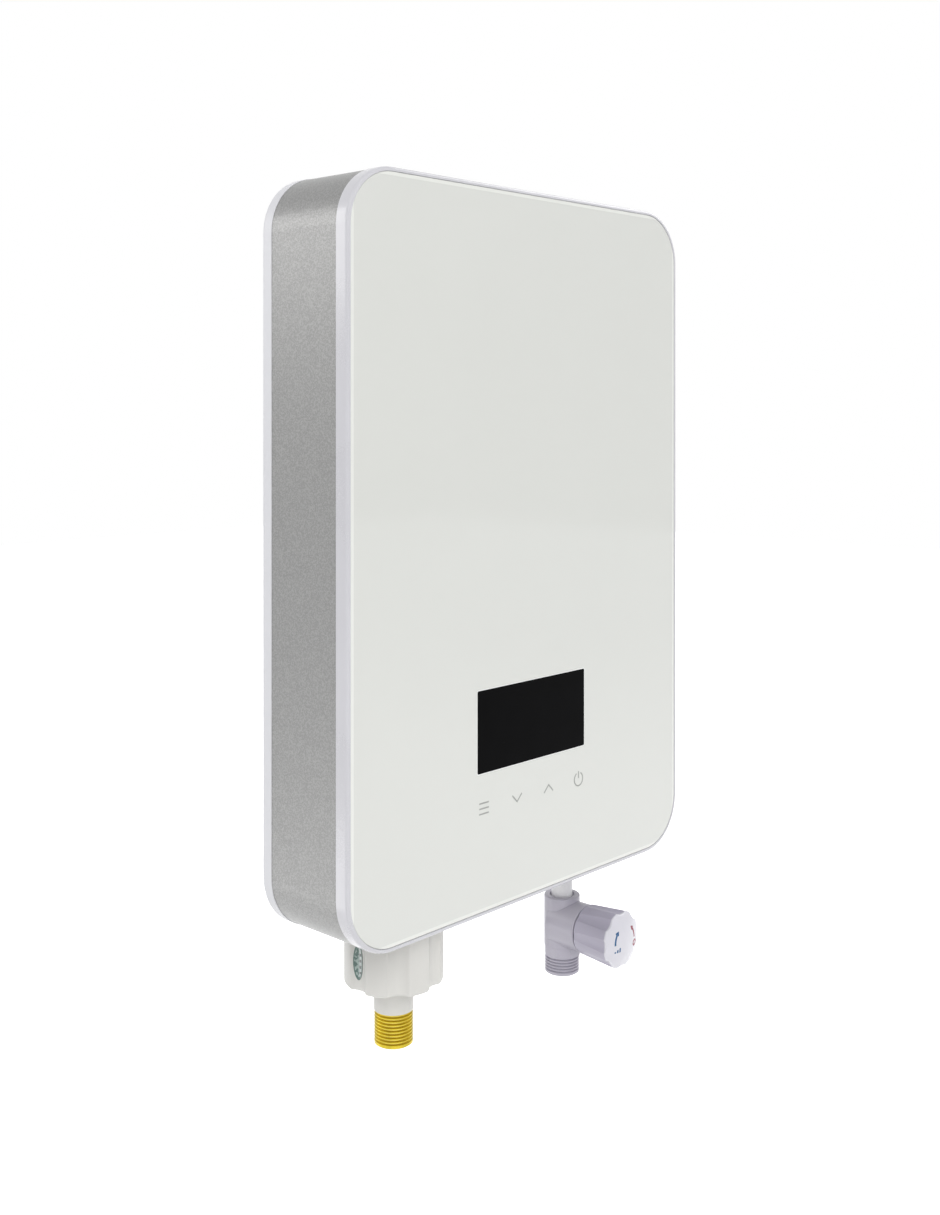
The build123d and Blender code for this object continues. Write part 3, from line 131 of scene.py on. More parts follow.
class HeaterColours(bpy.types.PropertyGroup):
    """Colours of the heater's finishes."""

    shell: colour("Shell", "White plastic of the back shell", (0.80, 0.80, 0.83))
    band: colour("Band", "Metallic lacquer of the side band", (0.28, 0.28, 0.276))
    bezel: colour("Front frame", "Plastic of the frame round the glass", (0.68, 0.675, 0.71))
    paint: colour("Glass paint", "Paint on the back of the glass", (0.76, 0.77, 0.73))
    glass_edge: colour("Glass edge", "Greenish tint of the ground edge", (0.73, 0.76, 0.73))
    window: colour("Display window", "Smoked window over the display", (0.003, 0.003, 0.0033))
    marks: colour("Touch marks", "Grey print of the touch keys", (0.36, 0.37, 0.35))
    housing: colour("Outlet housing", "Cream plastic of the lobed housing", (0.755, 0.745, 0.71))
    label: colour("Check label", "Green of the oval label", (0.11, 0.25, 0.21))
    brass: colour("Brass", "Bright turned brass", (0.52, 0.405, 0.04))
    # Pipe: white nylon made paler still, partly its own colour and partly painted light that
    # offsets the shade the casing casts on it
    pipe: colour("Pipe", "White nylon of the inlet pipe", (0.95, 0.945, 0.96))
    # Valve and knob: lilac-white plastic painted darker, painted shade for the shade on their
    # sides; the cap holds the lit colour of the same plastic
    valve: colour("Valve", "Lilac-white moulding of the valve", (0.48, 0.46, 0.53))
    knob: colour("Knob", "Satin plastic of the knob", (0.475, 0.45, 0.545))
    cap: colour("Knob cap", "Brighter gloss plastic of the knob's cap", (0.74, 0.73, 0.79))
    more: colour("More mark", "Blue arrow on the knob", (0.02, 0.11, 0.26))
    less: colour("Less mark", "Red arrow on the knob", (0.28, 0.02, 0.05))


class HeaterSizes(bpy.types.PropertyGroup):
    """Sizes of the printed marks, the lacquer's flakes and the glass's roughness."""

    film: length("Print thickness", "Thickness of a printed mark", 0.03 * MM)
    window_width: length("Window width", "Width of the display window", 92.0 * MM)
    window_height: length("Window height", "Height of the display window", 44.7 * MM)
    window_corner: length("Window corner", "Corner radius of the display window", 0.8 * MM)
    window_level: length("Window level", "Window centre above the casing's bottom", 99.6 * MM)
    window_line: length("Window line", "Width of the pale line round the window", 0.5 * MM)
    key_level: length("Key level", "Touch marks above the casing's bottom", 58.3 * MM)
    key_pitch: length("Key pitch", "Distance between touch marks", 27.2 * MM)
    key_stroke: length("Key stroke", "Line width of the touch marks", 0.8 * MM)
    flake: share("Flake contrast", "How much the lacquer's flakes vary", 0.14)
    glass_roughness: share("Glass roughness", "Roughness of the glass", 0.06)


# Shader maths

class Amount:
    """A number socket that Python's operators build on."""

    def __init__(self, nodes, socket):
        self.nodes = nodes
        self.socket = socket

    def __add__(self, other):
        return self.nodes.maths("ADD", self, other)

    __radd__ = __add__

    def __sub__(self, other):
        return self.nodes.maths("SUBTRACT", self, other)

    def __rsub__(self, other):
        return self.nodes.maths("SUBTRACT", other, self)

    def __mul__(self, other):
        return self.nodes.maths("MULTIPLY", self, other)

    __rmul__ = __mul__

    def __truediv__(self, other):
        return self.nodes.maths("DIVIDE", self, other)

    def __rtruediv__(self, other):
        return self.nodes.maths("DIVIDE", other, self)

    def __pow__(self, other):
        return self.nodes.maths("POWER", self, other)

    def __rpow__(self, other):
        return self.nodes.maths("POWER", other, self)

    def __abs__(self):
        return self.nodes.maths("ABSOLUTE", self)


class Nodes:
    """A node tree, and the one method that adds nodes to it."""

    def __init__(self, tree):
        self.tree = tree

    def node(self, kind, settings=None, sockets=None):
        """A node of one type; its settings are set first, then its sockets' values or links."""
        made = self.tree.nodes.new("ShaderNode" + kind)
        for name, value in (settings or {}).items():
            setattr(made, name, value)
        for name, value in (sockets or {}).items():
            self.join(value, made.inputs[name])
        return made

    def join(self, value, socket):
        if isinstance(value, Amount):
            value = value.socket
        if isinstance(value, bpy.types.NodeSocket):
            self.tree.links.new(value, socket)
        elif isinstance(socket.default_value, float):
            socket.default_value = value
        else:
            size = len(socket.default_value)
            socket.default_value = [*value, 1.0][:size]

    def maths(self, operation, *values):
        made = self.node("Math", {"operation": operation}, dict(enumerate(values)))
        return Amount(self, made.outputs[0])

    def shown(self):
        """1 for what the camera sees, also in a reflection or through glass; otherwise 0."""
        rays = self.node("LightPath").outputs
        seen = self.maths("MAXIMUM", rays["Is Camera Ray"], rays["Is Glossy Ray"])
        return self.maths("MAXIMUM", seen, rays["Is Transmission Ray"])


class Finish(Nodes):
    """One procedural material of the heater."""

    def __init__(self, name, roughness, constants=None):
        self.material = bpy.data.materials.new(name)
        self.material.use_nodes = True
        super().__init__(self.material.node_tree)
        self.shader = self.tree.nodes["Principled BSDF"]
        self.shader.inputs["Roughness"].default_value = roughness
        for socket, value in (constants or {}).items():
            self.shader.inputs[socket].default_value = value

    def feed(self, name, value):
        """Feeds one of the shader's own sockets."""
        self.join(value, self.shader.inputs[name])

    def place(self):
        """Position on the piece at rest, in metres."""
        return self.node("TexCoord").outputs["Object"]

    def axes(self):
        split = self.node("SeparateXYZ", {}, {0: self.place()})
        return [Amount(self, socket) for socket in split.outputs]

    def noise(self, size, detail=2.0, stretch=None):
        """Noise from 0 to 1 whose cells are about size metres across."""
        place = self.place()
        if stretch:
            scaled = self.node("VectorMath", {"operation": "MULTIPLY"}, {0: place, 1: stretch})
            place = scaled.outputs[0]
        made = self.node("TexNoise", {}, {"Vector": place, "Scale": 1 / size, "Detail": detail})
        return Amount(self, made.outputs[0])

    def cells(self, size):
        """Random level from 0 to 1, the same all over each cell of about size metres."""
        made = self.node("TexVoronoi", {}, {"Vector": self.place(), "Scale": 1 / size})
        levels = self.node("SeparateColor", {}, {0: made.outputs["Color"]})
        return Amount(self, levels.outputs[0])

    def step(self, value, low, high):
        """0 below low, 1 above high, and smooth between them."""
        made = self.node("MapRange", {"interpolation_type": "SMOOTHSTEP"},
                         {"Value": value, "From Min": low, "From Max": high})
        return Amount(self, made.outputs[0])

    def mix(self, first, second, factor):
        made = self.node("Mix", {"data_type": "RGBA"}, {0: factor, 6: first, 7: second})
        return made.outputs[2]

    def bump(self, height, depth):
        made = self.node("Bump", {}, {"Height": height, "Distance": depth, "Strength": 1.0})
        self.feed("Normal", made.outputs[0])


def shade(base, factor):
    return tuple(min(1.0, channel * factor) for channel in base)


# Finishes

def moulded(name, base, roughness, grain=0.5 * MM, depth=0.012 * MM, flow=0.035,
            constants=None):
    """Moulded plastic: fine spark-eroded grain, faint flow shading and a handled sheen."""
    finish = Finish(name, roughness, constants)
    drift = finish.step(finish.noise(45 * MM, 1.0), 0.3, 0.7)
    fine = finish.noise(grain, 3.0)
    tone = finish.mix(shade(base, 1 - flow), shade(base, 1 + flow), drift)
    finish.feed("Base Color", finish.mix(tone, shade(base, 0.94), finish.step(fine, 0.62, 0.8)))
    finish.feed("Roughness",
                roughness * 0.85 + drift * (roughness * 0.2) + fine * (roughness * 0.2))
    finish.bump(fine, depth)
    return finish.material


def lacquered(name, base, contrast):
    """Metallic lacquer: bright and dark flakes in a satin coat with slight orange peel."""
    finish = Finish(name, 0.42, {"Coat Roughness": 0.25, "Coat Weight": 0.25})
    flakes = finish.cells(0.6 * MM)
    clumps = finish.noise(1.3 * MM, 3.0)
    level = flakes * 0.55 + clumps * 0.45
    finish.feed("Base Color", finish.mix(shade(base, 1 - contrast), shade(base, 1 + contrast),
                                         finish.step(level, 0.25, 0.75)))
    finish.feed("Metallic", 0.35 + flakes * 0.3)
    finish.feed("Roughness", 0.36 + clumps * 0.16)
    finish.bump(finish.noise(1.2 * MM, 2.0), 0.02 * MM)
    return finish.material


def back_painted(name, paint, edge, roughness, host):
    """Glass painted on its back: even paint under a clear gloss, with a paler strip round its
    edge, a painted highlight that stands in for a bevel catching the light.
    """
    low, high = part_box(host)
    finish = Finish(name, roughness, {"Coat Weight": 1.0, "Coat Roughness": 0.02, "IOR": 1.5})
    x, y, z = finish.axes()
    across = abs(x - (low.x + high.x) / 2) - (high.x - low.x) / 2
    up = abs(z - (low.z + high.z) / 2) - (high.z - low.z) / 2
    # painted highlight: within about 2 mm of the edge the paint is made paler, for light caught
    # by a bevel
    rim = finish.step(finish.maths("MAXIMUM", across, up), -2.3 * MM, -1.9 * MM)
    ground_edge = finish.step(y, low.y + 0.1 * MM, low.y + 0.7 * MM)
    drift = finish.noise(90 * MM, 1.0)
    even = finish.mix(shade(paint, 0.985), shade(paint, 1.015), drift)
    rimmed = finish.mix(even, shade(paint, 1.15), rim)
    finish.feed("Base Color", finish.mix(rimmed, edge, ground_edge))
    finish.feed("Roughness", roughness + drift * 0.02 + ground_edge * 0.25)
    finish.bump(finish.noise(30 * MM, 1.0), 0.01 * MM)
    return finish.material


def turned_metal(name, base, roughness, axis, tarnish=0.12):
    """Turned or drawn metal: fine lines round the axis and slight tarnish."""
    finish = Finish(name, roughness)
    stretch = {"y": (0.06, 1, 0.06), "z": (0.06, 0.06, 1)}[axis]
    lines = finish.noise(LATHE_PITCH, 2.0, stretch)
    cloud = finish.step(finish.noise(6 * MM, 3.0), 0.4, 0.75)
    finish.feed("Base Color", finish.mix(base, shade(base, 1 - tarnish), cloud))
    finish.feed("Metallic", 1.0)
    finish.feed("Roughness", roughness * 0.8 + lines * (roughness * 0.4) + cloud * 0.08)
    finish.bump(lines, LATHE_DEPTH)
    return finish.material


def threaded_brass(name, base, roughness, host):
    """Bright turned brass with slight tarnish; its thread's roots are painted paler, painted
    light that offsets their shade, and streaks along it are a painted reflection of the
    surroundings.
    """
    low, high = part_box(host)
    finish = Finish(name, roughness)
    x, y, _ = finish.axes()
    radius = (high.x - low.x) / 2
    reach = ((x - (low.x + high.x) / 2) ** 2 + (y - (low.y + high.y) / 2) ** 2) ** 0.5
    crest = finish.step(reach, radius - 0.8 * MM, radius - 0.1 * MM)
    lines = finish.noise(LATHE_PITCH, 2.0, (0.06, 0.06, 1))
    # painted reflection: darker and lighter streaks along the nipple stand in for the
    # surroundings mirrored in the brass; the cloud below adds real tarnish
    reflection_streaks = finish.step(finish.noise(4.5 * MM, 1.0, (1, 1, 0.06)), 0.35, 0.65)
    cloud = finish.step(finish.noise(5 * MM, 3.0), 0.4, 0.75)
    tone = finish.mix(shade(base, 0.86), shade(base, 1.06), reflection_streaks)
    reflection_and_tarnish = finish.mix(tone, shade(base, 0.90), cloud)
    # painted light: the thread's roots get this paler colour to offset the shade that falls in
    # them
    painted_root_light = (0.68, 0.56, 0.13)
    finish.feed("Base Color", finish.mix(painted_root_light, reflection_and_tarnish, crest))
    finish.feed("Metallic", 1.0)
    finish.feed("Roughness", roughness * 0.8 + lines * (roughness * 0.4) + cloud * 0.08)
    finish.bump(lines, LATHE_DEPTH)
    return finish.material


def plated_steel(name, base, roughness, grain=1.6 * MM):
    """Zinc-plated or rolled sheet: pale spangle with rolling lines."""
    finish = Finish(name, roughness)
    spangle = finish.cells(grain * 2)
    lines = finish.noise(0.3 * MM, 2.0, (0.05, 1, 1))
    finish.feed("Base Color", finish.mix(shade(base, 0.86), shade(base, 1.08), spangle))
    finish.feed("Metallic", 1.0)
    finish.feed("Roughness", roughness * 0.8 + spangle * 0.1 + lines * 0.12)
    finish.bump(lines, LATHE_DEPTH)
    return finish.material


def circuit_laminate(name, base):
    """Solder-masked laminate: paler tracks under green mask, and pale solder dots."""
    finish = Finish(name, 0.35, {"Coat Weight": 0.4, "Coat Roughness": 0.2})
    x, _, z = finish.axes()
    wander = finish.noise(14 * MM, 1.0)
    turn = (x + z * 0.35 + wander * (9 * MM)) * (2 * math.pi / (3.2 * MM))
    tracks = finish.step(finish.maths("SINE", turn), 0.25, 0.45)
    laid = tracks * finish.step(finish.noise(22 * MM, 1.0), 0.42, 0.5)
    dots = finish.step(finish.cells(2.6 * MM), 0.9, 0.92)
    green = finish.mix(base, shade(base, 1.7), laid)
    solder = (0.62, 0.62, 0.60)
    finish.feed("Base Color", finish.mix(green, solder, dots))
    finish.feed("Roughness", 0.3 + laid * 0.12)
    finish.bump(laid + dots, 0.03 * MM)
    return finish.material


def rubbery(name, base, roughness=0.75):
    """Rubber or foam: matt, with a dusty bloom."""
    finish = Finish(name, roughness)
    bloom = finish.step(finish.noise(3 * MM, 4.0), 0.45, 0.8)
    finish.feed("Base Color", finish.mix(base, shade(base, 1.8), bloom))
    finish.feed("Roughness", roughness * 0.9 + bloom * 0.12)
    finish.bump(finish.noise(0.25 * MM, 3.0), 0.02 * MM)
    return finish.material


def sheathed(name, base):
    """Silicone sheath over stranded wire: the strands' lay shows faintly through it."""
    finish = Finish(name, 0.5)
    x, y, z = finish.axes()
    lay = finish.maths("SINE", (x + y + z) * (2 * math.pi / (2.4 * MM)))
    grime = finish.noise(8 * MM, 2.0)
    finish.feed("Base Color", finish.mix(shade(base, 0.8), shade(base, 1.15), grime))
    finish.feed("Roughness", 0.42 + grime * 0.15)
    finish.bump(lay, 0.03 * MM)
    return finish.material


def ceramic(name, base):
    """Lapped alumina: near-white, very fine, with slightly darker pits."""
    finish = Finish(name, 0.22, {"Coat Weight": 0.3})
    pits = finish.step(finish.noise(0.3 * MM, 2.0), 0.66, 0.74)
    finish.feed("Base Color", finish.mix(base, shade(base, 0.85), pits))
    finish.feed("Roughness", 0.2 + pits * 0.2)
    finish.bump(1 - pits, 0.01 * MM)
    return finish.material


def printed(name, base):
    """Screen-printed ink: even, with the mesh's faint texture."""
    roughness = 0.4
    finish = Finish(name, roughness)
    weave = finish.noise(0.35 * MM, 2.0)
    finish.feed("Base Color", finish.mix(shade(base, 0.94), shade(base, 1.06), weave))
    finish.feed("Roughness", roughness * 0.9 + weave * (roughness * 0.2))
    finish.bump(weave, 0.003 * MM)
    return finish.material


def smoked(name, base):
    """Smoked window: nearly black gloss with a faint cloud from the layers behind it."""
    finish = Finish(name, 0.2, {"Specular IOR Level": 0.02})
    cloud = finish.noise(16 * MM, 2.0)
    finish.feed("Base Color", finish.mix(shade(base, 0.8), shade(base, 1.5), cloud))
    finish.feed("Roughness", 0.18 + cloud * 0.08)
    finish.bump(finish.noise(12 * MM, 1.0), 0.004 * MM)
    return finish.material


def oval_label(name, base, host):
    """Oval film: dark rim, dark patches towards the back and a row of dots towards the front."""
    low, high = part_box(host)
    finish = Finish(name, 0.3, {"Coat Weight": 0.6, "Coat Roughness": 0.1})
    _, y, z = finish.axes()
    across = (y - (low.y + high.y) / 2) / ((high.y - low.y) / 2)
    up = (z - (low.z + high.z) / 2) / ((high.z - low.z) / 2)
    reach = (across ** 2 + up ** 2) ** 0.5
    pale, misty, dark = (0.40, 0.47, 0.45), (0.33, 0.42, 0.39), shade(base, 0.1)
    patches = finish.step(finish.noise(1.7 * MM, 2.0), 0.46, 0.56)
    patterned = finish.mix(shade(base, 0.5), misty, patches)
    row = finish.maths("SINE", (z - low.z) * (2 * math.pi / (3.2 * MM)))
    column = 1 - finish.step(abs(across + 0.46), 0.2, 0.26)
    dots = finish.step(row, 0.0, 0.2) * column * (1 - finish.step(abs(up), 0.6, 0.65))
    halves = finish.mix(pale, patterned, finish.step(across, -0.12, -0.06))
    rimmed = finish.mix(halves, shade(base, 0.5), finish.step(reach, 0.80, 0.86))
    finish.feed("Base Color", finish.mix(rimmed, dark, dots))
    shine = finish.noise(1.2 * MM, 2.0)
    finish.feed("Roughness", 0.25 + shine * 0.15)
    finish.bump(shine, 0.01 * MM)
    return finish.material


def dress(material, *nodes):
    """Gives CAD nodes a material, and stops if one of them isn't there."""
    for name in nodes:
        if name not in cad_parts:
            raise RuntimeError(f"the packed model has no node {name}")
        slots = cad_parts[name].data.materials
        slots.clear()
        slots.append(material)


# Meshes

def new_piece(name, shape, material, body):
    """Adds a finished mesh that rides on a body and takes the finish it is given."""
    bmesh.ops.recalc_face_normals(shape, faces=shape.faces)
    mesh = bpy.data.meshes.new(name)
    shape.to_mesh(mesh)
    shape.free()
    mesh.materials.append(material)
    piece = bpy.data.objects.new(name, mesh)
    bpy.context.scene.collection.objects.link(piece)
    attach(piece, body)


def ribbon(points, widths):
    """Left and right edge of a band along flat points, mitred at its corners."""
    points = [Vector(p) for p in points]
    edges = []
    for i, here in enumerate(points):
        before = here - points[i - 1] if i else points[1] - here
        after = points[i + 1] - here if i + 1 < len(points) else before
        before, after = before.normalized(), after.normalized()
        along = (before + after).normalized()
        across = Vector((-along.y, along.x)) / max(MITRE_LIMIT, along.dot(after))
        edges.append((here + across * widths[i] / 2, here - across * widths[i] / 2))
    return edges


def even_ribbon(points, width):
    return ribbon(points, [width] * len(points))


def arc(centre, radius, start, end, steps):
    """Points on an arc, angles in degrees, counter-clockwise from +X."""
    angles = [math.radians(start + (end - start) * i / steps) for i in range(steps + 1)]
    return [(centre[0] + radius * math.cos(a), centre[1] + radius * math.sin(a))
            for a in angles]


def rounded_plate(centre, width, height, corner):
    """A rounded rectangle as sections from its bottom to its top."""
    rows = []
    for side in (-1, 1):
        for i in range(CORNER_STEPS + 1):
            turned = i / CORNER_STEPS
            turn = math.pi / 2 * (turned if side > 0 else 1 - turned)
            half = width / 2 - corner + corner * math.cos(turn)
            z = centre[1] + side * (height / 2 - corner + corner * math.sin(turn))
            rows.append((Vector((centre[0] - half, z)), Vector((centre[0] + half, z))))
    return rows


def rounded_outline(centre, width, height, corner):
    """Points round a rounded rectangle, closed."""
    points = []
    for sx, sz, start in ((1, 1, 0), (-1, 1, 90), (-1, -1, 180), (1, -1, 270)):
        middle = (centre[0] + sx * (width / 2 - corner), centre[1] + sz * (height / 2 - corner))
        points += arc(middle, corner, start, start + 90, CORNER_STEPS)
    return points + points[:1]


class Ground:
    """The front of a CAD node, which prints are laid on; flat points are (X, Z), from -Y."""

    def __init__(self, node):
        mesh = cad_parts[node].data
        self.tree = BVHTree.FromPolygons([v.co for v in mesh.vertices],
                                         [p.vertices for p in mesh.polygons])
        self.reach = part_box(node)[0].y - GROUND_MARGIN

    def under(self, point, lift):
        """The point on the front below a flat point, lifted off it towards -Y."""
        hit = self.tree.ray_cast(Vector((point[0], self.reach, point[1])), Vector((0, 1, 0)))[0]
        if hit is None:
            raise RuntimeError(f"a print misses its ground at {point}")
        return hit - Vector((0, lift, 0))


def lay(shape, ground, edges, thickness):
    """Adds one printed band, a closed thin solid, to shape."""
    rings = []
    for left, right in edges:
        corners = [ground.under(left, thickness), ground.under(right, thickness),
                   ground.under(right, 0.0), ground.under(left, 0.0)]
        rings.append([shape.verts.new(c) for c in corners])
    for one, two in zip(rings, rings[1:]):
        for i in range(4):
            shape.faces.new((one[i], one[(i + 1) % 4], two[(i + 1) % 4], two[i]))
    shape.faces.new(rings[0])
    shape.faces.new(rings[-1][::-1])


# Operators: one for each piece or group of like pieces

class HeaterCasing(bpy.types.Operator):
    """Finish the shell, band, front frame, screws and wall bracket"""

    bl_idname = "heater.casing"
    bl_label = "Casing"

    def execute(self, context):
        hues, sizes = context.scene.heater_colours, context.scene.heater_sizes
        dress(moulded("shell_plastic", hues.shell, 0.42, flow=0.006), "rear_cover")
        dress(lacquered("band_lacquer", hues.band, sizes.flake), "side_band")
        dress(moulded("frame_plastic", hues.bezel, 0.28, 0.6 * MM, 0.006 * MM, 0.02,
                      {"Coat Weight": 0.35, "Coat Roughness": 0.12}), "front_frame")
        dress(plated_steel("bracket_zinc", (0.42, 0.42, 0.44), 0.42), "wall_bracket")
        dress(turned_metal("screw_zinc", (0.66, 0.66, 0.68), 0.28, "y"),
              "case_screws", "inner_screws", "terminal_screws", "knob_screw")
        dress(rubbery("foam_tape", (0.38, 0.38, 0.39)), "glass_tape")
        return {"FINISHED"}


class HeaterGlass(bpy.types.Operator):
    """Finish the painted glass and lay the display window and its pale line on it"""

    bl_idname = "heater.glass"
    bl_label = "Glass front"

    def execute(self, context):
        hues, sizes = context.scene.heater_colours, context.scene.heater_sizes
        dress(back_painted("painted_glass", hues.paint, hues.glass_edge, sizes.glass_roughness,
                           "glass_panel"), "glass_panel")
        dress(smoked("lens_acrylic", hues.window), "display_lens")
        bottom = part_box("front_frame")[0].z
        centre = (0.0, bottom + sizes.window_level)
        ground = Ground("glass_panel")
        film = bmesh.new()
        lay(film, ground, rounded_plate(centre, sizes.window_width, sizes.window_height,
                                        sizes.window_corner), sizes.film)
        new_piece("display_window", film, smoked("window_smoke", hues.window), "casing")
        line = bmesh.new()
        margin = sizes.window_line
        outline = rounded_outline(centre, sizes.window_width + margin,
                                  sizes.window_height + margin,
                                  sizes.window_corner + margin / 2)
        lay(line, ground, even_ribbon(outline, margin), sizes.film * 0.7)
        new_piece("window_line", line, printed("line_ink", (0.90, 0.91, 0.89)), "casing")
        return {"FINISHED"}


class HeaterTouchMarks(bpy.types.Operator):
    """Print the four plain touch marks: menu bars, down, up and power"""

    bl_idname = "heater.touch_marks"
    bl_label = "Touch marks"

    def execute(self, context):
        hues, sizes = context.scene.heater_colours, context.scene.heater_sizes
        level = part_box("front_frame")[0].z + sizes.key_level
        ink = printed("mark_ink", hues.marks)
        ground = Ground("glass_panel")
        marks = {"mark_menu": self.menu, "mark_down": self.down, "mark_up": self.up,
                 "mark_power": self.power}
        for i, (name, draw) in enumerate(marks.items()):
            centre = ((i - (len(marks) - 1) / 2) * sizes.key_pitch, level)
            shape = bmesh.new()
            for points in draw(*centre):
                lay(shape, ground, even_ribbon(points, sizes.key_stroke), sizes.film)
            new_piece(name, shape, ink, "casing")
        return {"FINISHED"}

    def menu(self, x, z):
        return [[(x - MENU_HALF, z + i * MENU_GAP), (x + MENU_HALF, z + i * MENU_GAP)]
                for i in (-1, 0, 1)]

    def chevron(self, x, z, rise):
        return [[(x - CHEVRON_HALF, z - rise), (x, z + rise), (x + CHEVRON_HALF, z - rise)]]

    def down(self, x, z):
        return self.chevron(x, z, -CHEVRON_RISE)

    def up(self, x, z):
        return self.chevron(x, z, CHEVRON_RISE)

    def power(self, x, z):
        ring = arc((x, z), POWER_RADIUS, 90 + POWER_OPENING, 450 - POWER_OPENING, POWER_STEPS)
        return [ring, [(x, z + level) for level in POWER_STEM]]


class HeaterOutlet(bpy.types.Operator):
    """Finish the lobed outlet housing, its label, collar and brass nipple"""

    bl_idname = "heater.outlet"
    bl_label = "Outlet"

    def execute(self, context):
        hues = context.scene.heater_colours
        dress(moulded("housing_plastic", hues.housing, 0.38), "insulating_housing",
              "outlet_collar")
        dress(oval_label("label_film", hues.label, "check_label"), "check_label")
        dress(threaded_brass("bright_brass", hues.brass, 0.32, "brass_nipple"), "brass_nipple")
        dress(moulded("core_nylon", (0.78, 0.77, 0.74), 0.5), "insulating_core",
              "outlet_locknut")
        return {"FINISHED"}


class HeaterInletValve(bpy.types.Operator):
    """Finish the inlet pipe, valve and knob, and print the knob's two arrows"""

    bl_idname = "heater.inlet_valve"
    bl_label = "Inlet valve"

    def execute(self, context):
        hues, sizes = context.scene.heater_colours, context.scene.heater_sizes
        # The pipe's colour is partly painted light, made paler to offset the casing's shade
        dress(moulded("pipe_nylon", hues.pipe, 0.32), "inlet_pipe")
        # The valve's and knob's colours carry painted shade; the cap's colour is the lit copy of
        # the knob's plastic
        dress(moulded("valve_acetal", hues.valve, 0.3, 0.5 * MM, 0.008 * MM), "valve_body")
        dress(moulded("knob_satin", hues.knob, 0.38, 0.6 * MM, 0.004 * MM, 0.02), "valve_knob")
        dress(moulded("face_gloss", hues.cap, 0.2, 0.6 * MM, 0.004 * MM, 0.02,
                      {"Coat Weight": 0.5, "Coat Roughness": 0.06}), "knob_face")
        dress(moulded("cartridge_acetal", (0.70, 0.70, 0.68), 0.4), "valve_cartridge")
        dress(turned_metal("spindle_brass", shade(hues.brass, 1.3), 0.22, "y"), "valve_spindle")
        dress(ceramic("disc_alumina", (0.82, 0.81, 0.78)), "ceramic_disc_fixed",
              "ceramic_disc_turning")
        dress(plated_steel("filter_mesh", (0.60, 0.60, 0.60), 0.3, 0.5 * MM), "inlet_filter")
        bars = [[(x, BAR_FOOT), (x, top)] for x, top in BARS]
        self.print_arrow("mark_more", hues.more, MORE_TURN, bars, sizes.film)
        ring = arc(RING_PLACE, RING_RADIUS, 0, 360, RING_STEPS)
        self.print_arrow("mark_less", hues.less, LESS_TURN, [ring], sizes.film)
        return {"FINISHED"}

    def print_arrow(self, name, hue, turn, signs, film):
        """A curved arrow on the knob's cap from one turn to the other, and the signs by it."""
        low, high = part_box("knob_face")
        centre = Vector(((low.x + high.x) / 2, (low.z + high.z) / 2))
        ground = Ground("knob_face")
        points = arc(centre, ARROW_RADIUS, *turn, ARROW_STEPS)
        widths = [ARROW_STROKE] * (len(points) - len(ARROW_HEAD)) + [*ARROW_HEAD]
        shape = bmesh.new()
        lay(shape, ground, ribbon(points, widths), film)
        for sign in signs:
            lay(shape, ground, even_ribbon([centre + Vector(p) for p in sign], SIGN_STROKE), film)
        new_piece(name, shape, printed(name + "_ink", hue), "flow_knob")


class HeaterWaterWay(bpy.types.Operator):
    """Finish the tank, pipes, flow sensor and seals inside the casing"""

    bl_idname = "heater.water_way"
    bl_label = "Water way"

    def execute(self, context):
        hues = context.scene.heater_colours
        dress(moulded("header_nylon", (0.05, 0.05, 0.055), 0.5, flow=0.1), "bottom_header",
              "top_header")
        dress(turned_metal("tank_steel", (0.62, 0.62, 0.63), 0.24, "z"), "tank_tubes",
              "cold_pipe", "hot_pipe")
        dress(turned_metal("element_steel", (0.32, 0.30, 0.29), 0.42, "z", 0.35),
              "heating_elements")
        dress(turned_metal("terminal_brass", shade(hues.brass, 1.25), 0.25, "z"),
              "element_terminals", "temperature_probes")
        dress(moulded("clip_nylon", (0.75, 0.74, 0.77), 0.45), "pipe_clips")
        dress(rubbery("seal_silicone", (0.46, 0.45, 0.49), 0.6), "water_seals")
        dress(moulded("sensor_nylon", (0.74, 0.73, 0.76), 0.4), "flow_sensor_body")
        dress(moulded("sensor_cap_nylon", (0.06, 0.06, 0.065), 0.45, flow=0.1),
              "flow_sensor_cap")
        dress(turned_metal("shaft_steel", (0.60, 0.60, 0.61), 0.15, "z"), "turbine_shaft")
        dress(moulded("turbine_plastic", (0.55, 0.55, 0.53), 0.35), "flow_turbine")
        return {"FINISHED"}


class HeaterElectrics(bpy.types.Operator):
    """Finish the boards, heat sink, relays, cut-outs, display and wires"""

    bl_idname = "heater.electrics"
    bl_label = "Electrics"

    def execute(self, context):
        dress(circuit_laminate("board_laminate", (0.012, 0.10, 0.045)), "control_board",
              "power_board")
        dress(turned_metal("sink_aluminium", (0.66, 0.66, 0.67), 0.3, "z"), "heat_sink")
        dress(moulded("component_epoxy", (0.02, 0.02, 0.02), 0.5, flow=0.15), "triacs",
              "board_parts", "hall_sensor", "led_display", "thermal_cutouts")
        dress(moulded("relay_case", (0.02, 0.06, 0.25), 0.35), "power_relays")
        dress(turned_metal("spring_steel", (0.6, 0.6, 0.61), 0.2, "y"), "key_springs")
        dress(sheathed("silicone_sheath", (0.16, 0.06, 0.03)), "inner_wires")
        dress(moulded("reset_plastic", (0.5, 0.02, 0.015), 0.35), "reset_button_left",
              "reset_button_right")
        return {"FINISHED"}


class HeaterCableEntry(bpy.types.Operator):
    """Finish the terminal block, earth stud and cable gland"""

    bl_idname = "heater.cable_entry"
    bl_label = "Cable entry"

    def execute(self, context):
        dress(moulded("terminal_nylon", (0.70, 0.70, 0.68), 0.45), "terminal_block")
        dress(turned_metal("earth_brass", (0.72, 0.55, 0.2), 0.25, "y"), "earth_stud")
        dress(moulded("gland_nylon", (0.70, 0.70, 0.72), 0.45), "gland_body", "gland_locknut",
              "gland_cap")
        dress(rubbery("gland_rubber", (0.02, 0.02, 0.02)), "gland_bush")
        return {"FINISHED"}


